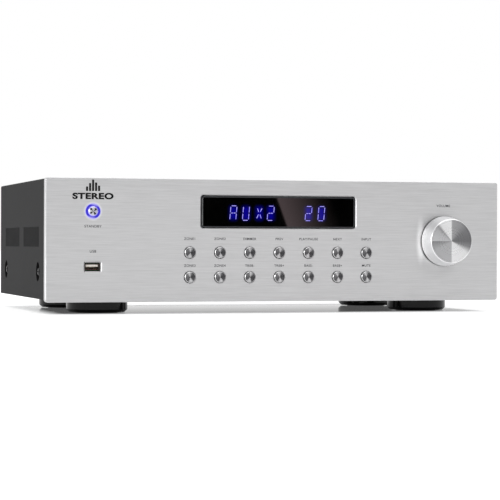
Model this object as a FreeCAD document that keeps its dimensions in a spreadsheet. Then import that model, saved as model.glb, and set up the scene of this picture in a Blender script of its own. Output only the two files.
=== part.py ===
import FreeCAD, Part
import Sketcher
import math
import os
import re

# A stereo receiver: aluminium front, sheet steel case, boards and sockets inside.
# +X is to the right seen from the front, +Y to the rear, +Z up. The origin is on the
# floor, below the middle of the whole object. Lengths are in millimetres.
# "Depth" is measured to the rear from the front panel's face, and "height" upwards
# from the front panel's lower edge.

SIZES = {
    # front panel
    "panel_width": 430, "panel_height": 110.5, "panel_face": 4.5, "panel_depth": 8,
    "panel_rim": 3, "panel_corner": 2.5, "panel_edge": 0.5, "panel_drop": 2,
    "boss_radius": 4, "boss_inset": 20, "boss_margin": 7.5, "boss_web": 2.5,
    # case of sheet steel
    "sheet": 1, "cover_depth": 253, "cover_side_gap": 1, "cover_top_gap": 0.6,
    "cover_bend": 1.6, "case_fit": 0.3, "flange_height": 36, "flange_depth": 14,
    "dimple_radius": 8.8, "dimple_depth": 2.4, "dimple_height": 26.6,
    "dimple_front": 45.3, "dimple_inset": 35.2,
    "side_slot_width": 2, "side_slot_height": 18, "side_slot_rise": 2.95,
    "side_slot_front": 41, "side_slot_between": 27, "side_slot_end": 33,
    "top_slot_width": 4, "top_slot_gap": 12, "top_slot_pitch": 9, "top_slot_corner": 1.6,
    "top_slot_start": 44, "top_slot_end": 65, "tab_width": 18, "tab_height": 12,
    "tab_inset": 65, "floor_slot_pitch": 10, "floor_slot_long": 36, "case_screw_inset": 35,
    # feet
    "foot_tall": 12.9, "foot_radius": 28.1, "foot_chamfer": 2.6,
    "foot_inset": 58.4, "foot_front": 60, "foot_end": 57.4, "foot_web": 3, "pad_radius": 19, "pad_thick": 2,
    "pad_proud": 0.5, "pad_gap": 0.2,
    # fasteners
    "screw_radius": 1.5, "screw_head_radius": 2.9, "screw_head": 2, "screw_long": 6,
    "cover_screw_radius": 1.8, "cover_screw_head_radius": 3.7, "cover_screw_head": 2.1,
    "screw_gap": 0.1, "recess_width": 0.9, "recess_deep": 1.1, "counterbore_gap": 1.3,
    "head_flat_share": 0.7, "head_rim_share": 0.5, "recess_share": 0.55,
    # push buttons
    "button_pitch": 28, "button_radius": 5,
    "button_gap": 0.6, "button_out": 1.8, "button_chamfer": 0.55, "button_lip": 1.2,
    "flange_thick": 0.8, "button_travel": 0.6, "stem_radius": 2, "stem_run": 0.06,
    "tip_radius": 1.5, "tip_gap": 0.25, "tip_depth": 0.8, "guide_margin": 9,
    "guide_gap": 0.5, "guide_pocket_gap": 0.4, "chassis_hole_gap": 0.7,
    # standby button with its light ring
    "standby_inset": 42.4, "standby_below": 29.7, "ring_width": 2.4, "ring_gap": 0.1,
    "ring_out": 0.3, "ring_lip": 1.3, "ring_flange_thick": 1, "standby_radius": 4.3,
    "standby_out": 1.5, "standby_chamfer": 0.75, "standby_lip": 1.3,
    # display
    "window_width": 146.8, "window_height": 29.5, "window_corner": 2.5, "window_below": 14.7,
    "window_edge": 1,
    "bezel_gap": 0.15, "bezel_wall": 1.6, "bezel_setback": 0.3, "bezel_chamfer": 1.1,
    "bezel_flange": 2.4, "bezel_flange_thick": 1.2, "lens_thick": 3, "module_gap": 0.3,
    "module_side": 4, "module_rise": 2,
    # USB socket
    "usb_height": 31.4, "usb_side_gap": 0.7, "usb_over_gap": 1.05, "usb_cut_corner": 0.5,
    "usb_width": 13.1, "usb_tall": 5.7, "usb_wall": 0.4, "usb_setback": 3.5,
    "usb_back": 1, "tongue_gap": 0.65, "tongue_thick": 1.8, "tongue_low": 0.2,
    "tongue_setback": 1.6,
    # volume knob and rotary encoder
    "knob_inset": 53.7, "knob_out": 18.3, "knob_gap": 1,
    "knob_base_radius": 23.5, "knob_face_radius": 19.9, "knob_lip": 0.5,
    "knob_wall": 3, "knob_crown": 5.3, "shaft_radius": 3, "shaft_run": 0.05,
    "shaft_end": 12.5, "shaft_cover": 0.5, "insert_radius": 7, "insert_disc": 2,
    "insert_clear": 2.6, "bush_wall": 0.45, "bush_gap": 0.2, "bush_out": 2.5, "bush_seat": 1,
    "encoder_width": 12.5, "encoder_tall": 13.5, "nut_thick": 2.2, "nut_corner": 5.77,
    # control board
    "board_depth": 16, "board_thick": 1.6, "board_left_gap": 14.6, "board_right_gap": 24.6,
    "board_low": 10, "board_below": 11.5, "switch_side": 6, "switch_tall": 3.5,
    "switch_bore": 2, "spacer_radius": 3, "spacer_wide": 118, "spacer_left_inset": 25,
    "spacer_right_inset": 37, "spacer_low": 14, "spacer_below": 15.5,
    # boards on the floor of the case
    "standoff": 8, "standoff_inset": 6,
    "power_board_inset": 62.6, "power_board_width": 96, "power_board_gap": 28,
    "power_board_long": 64, "capacitor_radius": 12.5, "capacitor_tall": 38,
    "capacitor_pitch": 30,
    "amp_board_over": 127, "amp_board_width": 140, "amp_board_front": 70, "amp_board_long": 130,
    "sink_width": 94, "sink_base": 6, "sink_tall": 62, "sink_depth": 130, "fin_long": 22,
    "fin_thick": 2, "fin_pitch": 8, "chip_width": 15, "chip_thick": 4.6, "chip_tall": 18,
    "chip_pitch": 22, "chip_rise": 12,
    # ribbon cable
    "ribbon_inset": 26, "ribbon_width": 26, "ribbon_thick": 1.2, "ribbon_bend": 6,
    "ribbon_high": 46, "ribbon_low": 24, "ribbon_drop_depth": 46, "ribbon_end_depth": 80,
    # transformer
    "core_inset": 75.6, "core_depth": 96, "core_width": 84, "core_thick": 36, "core_tall": 70,
    "yoke": 14, "core_window": 14, "coil_bulge": 11, "bracket_sheet": 1.5,
    "bracket_foot": 13, "strap_width": 21.6,
    # rear sockets
    "speaker_x": -112, "speaker_pitch": 19, "speaker_low": 24, "speaker_row": 20,
    "speaker_radius": 5.5, "speaker_lip": 2.1, "speaker_flange_thick": 3,
    "speaker_long": 12, "contact_radius": 3, "contact_bore": 2, "contact_bore_long": 14,
    "contact_long": 19, "contact_recess": 0.6,
    "rca_x": 72, "rca_pitch": 14, "rca_low": 62, "rca_radius": 4.15, "rca_wall": 1.05,
    "rca_out": 8.5, "rca_gap": 0.2, "rca_pin_hole": 1.6, "rca_recess": 0.5,
    "rca_lip": 1.45, "rca_collar_thick": 1.2,
    "input_board_gap": 12, "input_board_left": 10, "input_board_right": 16,
    "input_board_low": 50, "input_board_high": 90,
    "antenna_inset": 47, "antenna_height": 70, "antenna_radius": 4.8, "antenna_wall": 0.7,
    "antenna_out": 9, "antenna_pin": 1.2, "antenna_floor": 1.5, "antenna_lip": 3.2,
    # mains inlet and power switch
    "mains_inset": 37, "inlet_height": 32, "inlet_side_lip": 1.8, "inlet_cheek_lip": 2.3,
    "inlet_flange_thick": 3, "inlet_side_wall": 1.6, "inlet_cheek_wall": 1.9,
    "inlet_cavity_width": 24.2, "inlet_cavity_tall": 16.6, "inlet_cavity_deep": 16,
    "inlet_key": 4, "inlet_floor": 4, "inlet_corner": 2,
    "blade_width": 2, "blade_tall": 4, "blade_long": 14, "blade_tag": 6,
    "blade_pitch": 7, "blade_drop": 2,
    "rocker_height": 72, "rocker_width": 12.6, "rocker_half": 8,
    "rocker_middle": 6, "rocker_end": 7.3, "rocker_root": 5, "rocker_root_half": 6,
    "rocker_tilt": 9, "rocker_pivot": 3.5, "rocker_pin": 1.2, "rocker_pin_out": 1.3,
    "rocker_pin_run": 0.05, "rocker_side_gap": 0.2, "rocker_end_gap": 1.3,
    "rocker_bottom_gap": 1.5, "switch_wall": 1.6, "switch_flange": 1.4,
    "switch_flange_thick": 2, "switch_floor": 4, "rocker_pin_seat": 0.2,
}

COUNTS = {"buttons": 7, "side_slots": 21, "top_slots": 19, "top_slot_rows": 4, "fins": 11,
          "speaker_columns": 8, "rca_columns": 4, "floor_slots": 9, "chips": 4}

# Places worked out from the sizes above.
PLACES = {
    "front_y": "(knob_out - panel_depth - cover_depth - antenna_out) / 2",
    "back_face_y": "front_y + panel_face",
    "chassis_y": "front_y + panel_depth",
    "chassis_back_y": "chassis_y + sheet",
    "board_y": "front_y + board_depth",
    "rear_y": "chassis_y + cover_depth",
    "rear_inner_y": "rear_y - sheet",
    "input_board_y": "rear_inner_y - input_board_gap",
    "panel_z": "foot_tall - panel_drop",
    "floor_z": "foot_tall + sheet",
    "cover_tall": "panel_height - cover_top_gap - panel_drop",
    "cover_half": "panel_width / 2 - cover_side_gap",
    "cover_under_z": "foot_tall + cover_tall - sheet",
    "chassis_half": "cover_half - sheet - dimple_depth",
    "chassis_top_z": "cover_under_z - case_fit",
    "rear_half": "cover_half - sheet - case_fit",
    "panel_half": "panel_width / 2",
    "case_end": "panel_depth + cover_depth",
    "boss_x": "panel_half - boss_inset",
    "tab_x": "panel_half - tab_inset",
    "foot_x": "panel_half - foot_inset",
    "foot_rear": "case_end - foot_end",
    "dimple_rear": "case_end - dimple_inset",
    "side_slot_middle": "panel_height / 2 + side_slot_rise",
    "side_slot_pitch": "(case_end - side_slot_front - side_slot_between - side_slot_end) / %d"
                       % (2 * (COUNTS["side_slots"] - 1)),
    "side_slot_rear": "side_slot_front + %d * side_slot_pitch + side_slot_between"
                      % (COUNTS["side_slots"] - 1),
    "top_slot_row": "(cover_depth - top_slot_start - top_slot_end) / %d"
                    % (COUNTS["top_slot_rows"] - 1),
    "top_slot_length": "top_slot_row - top_slot_gap",
    "window_middle": "panel_height - window_below - window_height / 2",
    "row_low": "(window_middle - window_height / 2) / 3",
    "row_high": "2 * row_low",
    "button_flange": "button_radius + button_lip",
    "guide_low": "boss_margin + boss_radius + guide_gap",
    "guide_high": "row_high + guide_margin",
    "lens_corner": "window_corner - bezel_wall",
    "standby_x": "standby_inset - panel_half",
    "standby_height": "panel_height - standby_below",
    "standby_flange": "standby_radius + standby_lip",
    "ring_outer": "standby_radius + ring_width",
    "ring_flange": "ring_outer + ring_lip",
    "usb_cut_width": "usb_width + 2 * usb_side_gap",
    "usb_cut_height": "usb_tall + 2 * usb_over_gap",
    "tongue_width": "usb_width - 2 * usb_wall - 2 * tongue_gap",
    "knob_x": "panel_half - knob_inset",
    "knob_height": "panel_height / 2",
    "bush_radius": "shaft_radius + shaft_run + bush_wall",
    "board_left": "chassis_half - board_left_gap",
    "board_right": "chassis_half - board_right_gap",
    "board_high": "panel_height - board_below",
    "spacer_left": "panel_half - spacer_left_inset",
    "spacer_right": "panel_half - spacer_right_inset",
    "spacer_high": "panel_height - spacer_below",
    "power_board_x": "power_board_inset - chassis_half",
    "power_board_front": "case_end - sheet - power_board_gap - power_board_long",
    "core_x": "core_inset - chassis_half",
    "amp_board_x": "core_x + amp_board_over",
    "ribbon_x": "amp_board_x - amp_board_width / 2 + ribbon_inset",
    "speaker_flange": "speaker_radius + speaker_lip",
    "rca_bore": "rca_radius - rca_wall",
    "rca_collar": "rca_radius + rca_lip",
    "antenna_x": "panel_half - antenna_inset",
    "antenna_bore": "antenna_radius - antenna_wall",
    "antenna_collar": "antenna_radius + antenna_lip",
    "inlet_x": "mains_inset - panel_half",
    "rocker_x": "mains_inset - panel_half",
    "inlet_body_width": "inlet_cavity_width + 2 * inlet_side_wall",
    "inlet_body_tall": "inlet_cavity_tall + 2 * inlet_cheek_wall",
    "inlet_flange_width": "inlet_body_width + 2 * inlet_side_lip",
    "inlet_flange_tall": "inlet_body_tall + 2 * inlet_cheek_lip",
    "knob_z": "panel_z + knob_height",
    "standby_z": "panel_z + standby_height",
    "usb_z": "panel_z + usb_height",
    "window_z": "panel_z + window_middle",
    "switch_face": "board_depth - switch_tall",
    "ring_inner": "standby_radius + stem_run",
    "board_top_z": "floor_z + standoff + board_thick",
    "rocker_y": "rear_y - rocker_pivot",
    "rocker_z": "panel_z + rocker_height",
    "inlet_z": "panel_z + inlet_height",
}

ALONG = {
    "up": FreeCAD.Rotation(),
    "down": FreeCAD.Rotation(FreeCAD.Vector(1, 0, 0), 180),
    "rear": FreeCAD.Rotation(FreeCAD.Vector(1, 0, 0), -90),
    "front": FreeCAD.Rotation(FreeCAD.Vector(1, 0, 0), 90),
    "right": FreeCAD.Rotation(FreeCAD.Vector(0, 1, 0), 90),
    "left": FreeCAD.Rotation(FreeCAD.Vector(0, 1, 0), -90),
}

doc = FreeCAD.newDocument("StereoReceiver")
sheet = doc.addObject("Spreadsheet::Sheet", "Sizes")
for row, (alias, number) in enumerate(SIZES.items(), start=1):
    sheet.set("A%d" % row, alias)
    sheet.set("B%d" % row, str(number))
    sheet.setAlias("B%d" % row, alias)
doc.recompute()

nodes = []


# ---- helpers -------------------------------------------------------------------

def bound(formula):
    """A formula in the words of SIZES and PLACES, as an expression on the sheet."""
    def swap(match):
        word = match.group(0)
        if word in PLACES:
            return "(" + bound(PLACES[word]) + ")"
        if word in SIZES:
            return "Sizes." + word
        return word
    return re.sub(r"[a-z][a-z_]*", swap, str(formula))


def measure(formula):
    """The formula's present value as a plain number."""
    return float(sheet.evalExpression(bound(formula)))


def bind(target, prop, formula):
    target.setExpression(prop, bound(formula))


def place(target, spot, along="up", prop="Placement"):
    """Puts the object's origin at a spot, with its own +Z pointing along a direction."""
    setattr(target, prop, FreeCAD.Placement(FreeCAD.Vector(), ALONG[along]))
    for letter, formula in zip("xyz", spot):
        bind(target, prop + ".Base." + letter, formula)


def keep(target, name):
    """Marks the object as a sub-part and names it."""
    target.Label = name
    nodes.append(target)
    return target


def slab(name, low, high):
    """A box from one corner to the other."""
    block = doc.addObject("Part::Box", name)
    for prop, start, end in zip(("Length", "Width", "Height"), low, high):
        bind(block, prop, "(%s) - (%s)" % (end, start))
    place(block, low)
    return block


def rod(name, spot, radius, length, along="up"):
    """A round bar that starts at a spot."""
    bar = doc.addObject("Part::Cylinder", name)
    bind(bar, "Radius", radius)
    bind(bar, "Height", length)
    place(bar, spot, along)
    return bar


def cut(name, base, tools):
    """The base with every tool taken away."""
    result = doc.addObject("Part::Cut", name)
    result.Base = base
    result.Tool = tools[0] if len(tools) == 1 else fuse(name + "_tools", tools)
    return result


def fuse(name, parts):
    result = doc.addObject("Part::MultiFuse", name)
    result.Shapes = parts
    result.Refine = True
    return result


def group(name, parts):
    result = doc.addObject("Part::Compound", name)
    result.Links = parts
    return result


def repeat(name, master, spots):
    """Separate copies of one piece, each at a spot and pointing along a direction."""
    copies = []
    for number, (spot, along) in enumerate(spots, start=1):
        copy = doc.addObject("App::Link", "%s_%d" % (name, number))
        copy.LinkedObject = master
        place(copy, spot, along, "LinkPlacement")
        copies.append(copy)
    return group(name, copies)


def new_body(name, spot, along="up"):
    body = doc.addObject("PartDesign::Body", name)
    place(body, spot, along)
    return body


def origin_plane(body, role):
    return [item for item in body.Origin.OriginFeatures if item.Role == role][0]


def new_sketch(body, name, role="XZ_Plane", offset="0"):
    """A sketch on one of the body's own planes, moved along the plane's normal."""
    sketch = body.newObject("Sketcher::SketchObject", name)
    sketch.AttachmentSupport = [(origin_plane(body, role), "")]
    sketch.MapMode = "FlatFace"
    bind(sketch, "AttachmentOffset.Base.z", offset)
    return sketch


def hold_point(sketch, line, end, x, y):
    """Fixes one point of a sketch at its two formulas."""
    for kind, axis, formula in (("DistanceX", -2, x), ("DistanceY", -1, y)):
        if str(formula) == "0":
            sketch.addConstraint(Sketcher.Constraint("PointOnObject", line, end, axis))
            continue
        rule = Sketcher.Constraint(kind, -1, 1, line, end, measure(formula))
        number = sketch.addConstraint(rule)
        bind(sketch, "Constraints[%d]" % number, formula)


def draw_circle(sketch, x, y, radius):
    middle = FreeCAD.Vector(measure(x), measure(y), 0)
    circle = Part.Circle(middle, FreeCAD.Vector(0, 0, 1), measure(radius))
    line = sketch.addGeometry(circle, False)
    hold_point(sketch, line, 3, x, y)
    number = sketch.addConstraint(Sketcher.Constraint("Radius", line, measure(radius)))
    bind(sketch, "Constraints[%d]" % number, radius)


def step_towards(start, end, radius):
    """The formula of the point one radius from start, on the square run to end."""
    spot = []
    for here, there in zip(start[:2], end[:2]):
        gap = measure(there) - measure(here)
        sign = "+" if gap > 0 else "-"
        spot.append(here if abs(gap) < 1e-9 else "(%s) %s (%s)" % (here, sign, radius))
    return spot


def corner_arc(start, tip, end):
    """The quarter circle that rounds a square corner at tip, from start to end."""
    centre = start + end - tip
    first = start - centre
    last = end - centre
    if first.cross(last).z < 0:
        first, last = last, first
    from_angle = math.atan2(first.y, first.x)
    circle = Part.Circle(centre, FreeCAD.Vector(0, 0, 1), first.Length)
    return Part.ArcOfCircle(circle, from_angle, from_angle + math.pi / 2)


def draw_outline(sketch, corners):
    """A closed outline. A corner (x, y, radius) is rounded; its two runs are square."""
    points = []
    for number, corner in enumerate(corners):
        if len(corner) == 2:
            points.append((corner, None))
            continue
        before = corners[number - 1]
        after = corners[(number + 1) % len(corners)]
        points.append((step_towards(corner, before, corner[2]), corner))
        points.append((step_towards(corner, after, corner[2]), None))
    first = sketch.GeometryCount
    for number, (start, rounding) in enumerate(points):
        end = points[(number + 1) % len(points)][0]
        from_point = FreeCAD.Vector(measure(start[0]), measure(start[1]), 0)
        to_point = FreeCAD.Vector(measure(end[0]), measure(end[1]), 0)
        if rounding is None:
            sketch.addGeometry(Part.LineSegment(from_point, to_point), False)
            continue
        tip = FreeCAD.Vector(measure(rounding[0]), measure(rounding[1]), 0)
        sketch.addGeometry(corner_arc(from_point, tip, to_point), False)
    last = sketch.GeometryCount
    ends = []
    for line in range(first, last):
        start = points[line - first][0]
        shape = sketch.Geometry[line]
        gap = shape.StartPoint - FreeCAD.Vector(measure(start[0]), measure(start[1]), 0)
        ends.append((1, 2) if gap.Length < 1e-6 else (2, 1))
    for line in range(first, last):
        following = first + (line + 1 - first) % (last - first)
        rule = ("Coincident", line, ends[line - first][1], following, ends[following - first][0])
        sketch.addConstraint(Sketcher.Constraint(*rule))
    for line in range(first, last):
        start, rounding = points[line - first]
        hold_point(sketch, line, ends[line - first][0], start[0], start[1])
        if rounding is not None:
            rule = Sketcher.Constraint("Radius", line, measure(rounding[2]))
            number = sketch.addConstraint(rule)
            bind(sketch, "Constraints[%d]" % number, rounding[2])


def draw_rectangle(sketch, x, y, width, height, radius=None):
    """A rectangle about its middle, with rounded corners if a radius is given."""
    rounding = () if radius is None else (radius,)
    sides = ((-1, -1), (1, -1), (1, 1), (-1, 1))
    corners = []
    for right, upper in sides:
        corner = ("(%s) + (%d) * (%s) / 2" % (x, right, width),
                  "(%s) + (%d) * (%s) / 2" % (y, upper, height))
        corners.append(corner + rounding)
    draw_outline(sketch, corners)


def pad(body, sketch, length, reverse=False):
    feature = body.newObject("PartDesign::Pad", sketch.Name + "_pad")
    feature.Profile = sketch
    bind(feature, "Length", length)
    feature.Reversed = reverse
    sketch.Visibility = False
    return feature


def pocket(body, sketch, length=None, reverse=False, midplane=False):
    """Cuts to a length, or right through where no length is given."""
    feature = body.newObject("PartDesign::Pocket", sketch.Name + "_pocket")
    feature.Profile = sketch
    feature.Reversed = reverse
    feature.Midplane = midplane
    if length is None:
        feature.Type = 1
    else:
        bind(feature, "Length", length)
    return feature


def line_up(body, feature, sketch, axis, pitch, count):
    """Repeats a feature along one axis of its sketch."""
    pattern = body.newObject("PartDesign::LinearPattern", feature.Name + "_row")
    pattern.Originals = [feature]
    pattern.Direction = (sketch, [axis])
    pattern.Occurrences = count
    bind(pattern, "Length", "%d * (%s)" % (count - 1, pitch))
    body.Tip = pattern
    return pattern


def spin(name, profile, spot=("0", "0", "0"), along="up"):
    """A body turned about its own Z axis from (radius, height) points."""
    body = new_body(name, spot, along)
    sketch = new_sketch(body, name + "_profile")
    draw_outline(sketch, profile)
    turn = body.newObject("PartDesign::Revolution", name + "_turn")
    turn.Profile = sketch
    turn.ReferenceAxis = (sketch, ["V_Axis"])
    turn.Angle = 360
    return body


def lies_in_front(item):
    return max(abs(item.BoundBox.YMin), abs(item.BoundBox.YMax)) < 1e-6


def chamfer_front(body, feature, size, openings=False):
    """Breaks the outline of the face in the body's own XZ plane, or the openings in it."""
    doc.recompute()
    face = next(face for face in feature.Shape.Faces if lies_in_front(face))
    outline = face.OuterWire.Edges
    names = []
    for number, edge in enumerate(feature.Shape.Edges, start=1):
        in_outline = any(edge.isSame(other) for other in outline)
        if lies_in_front(edge) and in_outline != openings:
            names.append("Edge%d" % number)
    bevel = body.newObject("PartDesign::Chamfer", feature.Name + "_bevel")
    bevel.Base = (feature, names)
    bind(bevel, "Size", size)
    return bevel


# ---- shared rows of places ------------------------------------------------------

def button_columns():
    half = (COUNTS["buttons"] - 1) / 2
    return ["%g * button_pitch" % (number - half) for number in range(COUNTS["buttons"])]


def panel_screw_spots():
    """The middle pair stands between two columns of buttons."""
    spots = []
    for x in ("-boss_x", "button_pitch / 2", "boss_x"):
        for height in ("boss_margin", "panel_height - boss_margin"):
            spots.append((x, height))
    return spots


def spacer_spots():
    spots = []
    for x in ("-spacer_left", "-spacer_wide", "spacer_wide", "spacer_right"):
        for height in ("spacer_low", "spacer_high"):
            spots.append((x, height))
    return spots


def board_corners(middle, width, front, long):
    """The four fixing points of a board on the floor of the case, as (x, depth)."""
    spots = []
    for side in (-1, 1):
        for depth in ("%s + standoff_inset" % front, "%s + %s - standoff_inset" % (front, long)):
            spots.append(("%s + (%d) * (%s / 2 - standoff_inset)" % (middle, side, width), depth))
    return spots


def floor_board_spots():
    power = board_corners("power_board_x", "power_board_width", "power_board_front",
                          "power_board_long")
    amplifier = board_corners("amp_board_x", "amp_board_width", "amp_board_front",
                              "amp_board_long")
    return power + amplifier


def foot_spots():
    return [(x, depth) for x in ("-foot_x", "foot_x") for depth in ("foot_front", "foot_rear")]


CASE_SCREW_X = ("case_screw_inset - foot_x", "0", "foot_x - case_screw_inset")


# ---- front panel ----------------------------------------------------------------

def make_front_panel():
    """Machined aluminium face with a rim behind it and six blind screw bosses."""
    body = new_body("front_panel", ("0", "front_y", "panel_z"))
    plate = new_sketch(body, "panel_plate")
    draw_rectangle(plate, "0", "panel_height / 2", "panel_width", "panel_height", "panel_corner")
    block = pad(body, plate, "panel_depth", reverse=True)
    chamfer_front(body, block, "panel_edge")
    hollow = new_sketch(body, "panel_hollow", offset="-panel_face")
    draw_rectangle(hollow, "0", "panel_height / 2", "panel_width - 2 * panel_rim",
                   "panel_height - 2 * panel_rim")
    pocket(body, hollow, "panel_depth")
    bosses = new_sketch(body, "panel_bosses", offset="-panel_face")
    holes = new_sketch(body, "panel_boss_holes", offset="-boss_web")
    for x, height in panel_screw_spots():
        draw_circle(bosses, x, height, "boss_radius")
        draw_circle(holes, x, height, "screw_radius")
    pad(body, bosses, "panel_depth - panel_face", reverse=True)
    pocket(body, holes, "panel_depth")
    window = new_sketch(body, "panel_window")
    draw_rectangle(window, "0", "window_middle", "window_width", "window_height",
                   "window_corner")
    draw_rectangle(window, "standby_x", "usb_height", "usb_cut_width", "usb_cut_height",
                   "usb_cut_corner")
    openings = pocket(body, window, "panel_depth")
    chamfer_front(body, openings, "window_edge", openings=True)
    bores = new_sketch(body, "panel_bores")
    draw_circle(bores, "standby_x", "standby_height", "ring_outer + ring_gap")
    draw_circle(bores, "knob_x", "knob_height", "bush_radius + bush_gap")
    pocket(body, bores, "panel_depth")
    first = new_sketch(body, "panel_button_holes")
    for height in ("row_low", "row_high"):
        draw_circle(first, button_columns()[0], height, "button_radius + button_gap")
    holes = pocket(body, first, "panel_depth")
    line_up(body, holes, first, "H_Axis", "button_pitch", COUNTS["buttons"])
    keep(body, "front_panel")


def make_display():
    """Bezel with a bevelled front edge, the lens flush inside it, the module behind."""
    inner_width = "window_width - 2 * bezel_gap - 2 * bezel_wall"
    inner_height = "window_height - 2 * bezel_gap - 2 * bezel_wall"
    bezel = new_body("display_bezel", ("0", "front_y + bezel_setback", "window_z"))
    frame = new_sketch(bezel, "bezel_frame")
    draw_rectangle(frame, "0", "0", "window_width - 2 * bezel_gap",
                   "window_height - 2 * bezel_gap", "window_corner")
    tube = pad(bezel, frame, "panel_face - bezel_setback + bezel_flange_thick", reverse=True)
    chamfer_front(bezel, tube, "bezel_chamfer")
    flange = new_sketch(bezel, "bezel_back", offset="bezel_setback - panel_face")
    draw_rectangle(flange, "0", "0", "window_width + 2 * bezel_flange",
                   "window_height + 2 * bezel_flange")
    pad(bezel, flange, "bezel_flange_thick", reverse=True)
    opening = new_sketch(bezel, "bezel_opening")
    draw_rectangle(opening, "0", "0", inner_width, inner_height, "lens_corner")
    pocket(bezel, opening)
    keep(bezel, "display_bezel")

    lens = new_body("display_lens", ("0", "front_y + bezel_setback", "window_z"))
    outline = new_sketch(lens, "lens_outline")
    draw_rectangle(outline, "0", "0", inner_width, inner_height, "lens_corner")
    pad(lens, outline, "lens_thick", reverse=True)
    keep(lens, "display_lens")

    half_width = "(%s) / 2 - module_side" % inner_width
    half_height = "(%s) / 2 - module_rise" % inner_height
    keep(slab("display_module",
              ("-(%s)" % half_width, "front_y + bezel_setback + lens_thick + module_gap",
               "window_z - (%s)" % half_height),
              (half_width, "board_y", "window_z + (%s)" % half_height)), "display_module")


def make_standby():
    """Lit ring in the panel, with the standby cap sliding in its bore."""
    ring = [("ring_inner", "-ring_out"), ("ring_outer", "-ring_out"),
            ("ring_outer", "panel_face"), ("ring_flange", "panel_face"),
            ("ring_flange", "panel_face + ring_flange_thick"),
            ("ring_inner", "panel_face + ring_flange_thick")]
    spot = ("standby_x", "front_y", "standby_z")
    keep(spin("standby_light_ring", ring, spot, "rear"), "standby_light_ring")
    cap = button_profile("standby_radius", "standby_out", "standby_chamfer", "standby_flange",
                         "panel_face + ring_flange_thick")
    keep(spin("standby_button", cap, spot, "rear"), "standby_button")


def button_profile(radius, out, chamfer, flange, seat):
    """Cap, retaining flange behind its seat, stem, and the tip inside its switch."""
    return [("0", "-(%s)" % out), ("%s - %s" % (radius, chamfer), "-(%s)" % out),
            (radius, "-(%s) + %s" % (out, chamfer)), (radius, seat), (flange, seat),
            (flange, "%s + flange_thick" % seat), ("stem_radius", "%s + flange_thick" % seat),
            ("stem_radius", "switch_face - button_travel - tip_gap"),
            ("tip_radius", "switch_face - button_travel - tip_gap"),
            ("tip_radius", "switch_face + tip_depth"), ("0", "switch_face + tip_depth")]


def make_buttons():
    upper = ("button_zone_1", "button_zone_2", "button_dimmer", "button_previous",
             "button_play_pause", "button_next", "button_input")
    lower = ("button_zone_3", "button_zone_4", "button_treble_down", "button_treble_up",
             "button_bass_down", "button_bass_up", "button_mute")
    profile = button_profile("button_radius", "button_out", "button_chamfer",
                             "button_flange", "panel_face")
    for names, height in ((upper, "row_high"), (lower, "row_low")):
        for name, x in zip(names, button_columns()):
            spot = (x, "front_y", "panel_z + %s" % height)
            keep(spin(name, profile, spot, "rear"), name)


def make_guide_frame():
    """Plastic plate between panel and chassis that guides the fourteen stems."""
    body = new_body("button_guide_frame", ("0", "back_face_y", "panel_z"))
    outline = new_sketch(body, "guide_outline")
    draw_rectangle(outline, "0", "(guide_low + guide_high) / 2",
                   "%d * button_pitch + 2 * guide_margin" % (COUNTS["buttons"] - 1),
                   "guide_high - guide_low", "panel_rim")
    pad(body, outline, "panel_depth - panel_face", reverse=True)
    seats = new_sketch(body, "guide_seats")
    bores = new_sketch(body, "guide_bores")
    for height in ("row_low", "row_high"):
        draw_circle(seats, button_columns()[0], height, "button_flange + guide_pocket_gap")
        draw_circle(bores, button_columns()[0], height, "stem_radius + stem_run")
    for sketch, length in ((seats, "flange_thick + 2 * button_travel"), (bores, "panel_depth")):
        feature = pocket(body, sketch, length)
        line_up(body, feature, sketch, "H_Axis", "button_pitch", COUNTS["buttons"])
    keep(body, "button_guide_frame")


def make_usb():
    """Folded metal shell of the socket and the contact tongue in its upper half."""
    low = "usb_z - usb_tall / 2"
    high = "usb_z + usb_tall / 2"
    left = "standby_x - usb_width / 2"
    right = "standby_x + usb_width / 2"
    outer = slab("usb_outer", (left, "front_y + usb_setback", low), (right, "board_y", high))
    inner = slab("usb_inner", (left + " + usb_wall", "front_y", low + " + usb_wall"),
                 (right + " - usb_wall", "board_y - usb_back", high + " - usb_wall"))
    keep(cut("usb_socket_shell", outer, [inner]), "usb_socket_shell")
    keep(slab("usb_socket_tongue",
              ("standby_x - tongue_width / 2", "front_y + usb_setback + tongue_setback",
               "usb_z + tongue_low"),
              ("standby_x + tongue_width / 2", "board_y - usb_back",
               "usb_z + tongue_low + tongue_thick")), "usb_socket_tongue")


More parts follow.
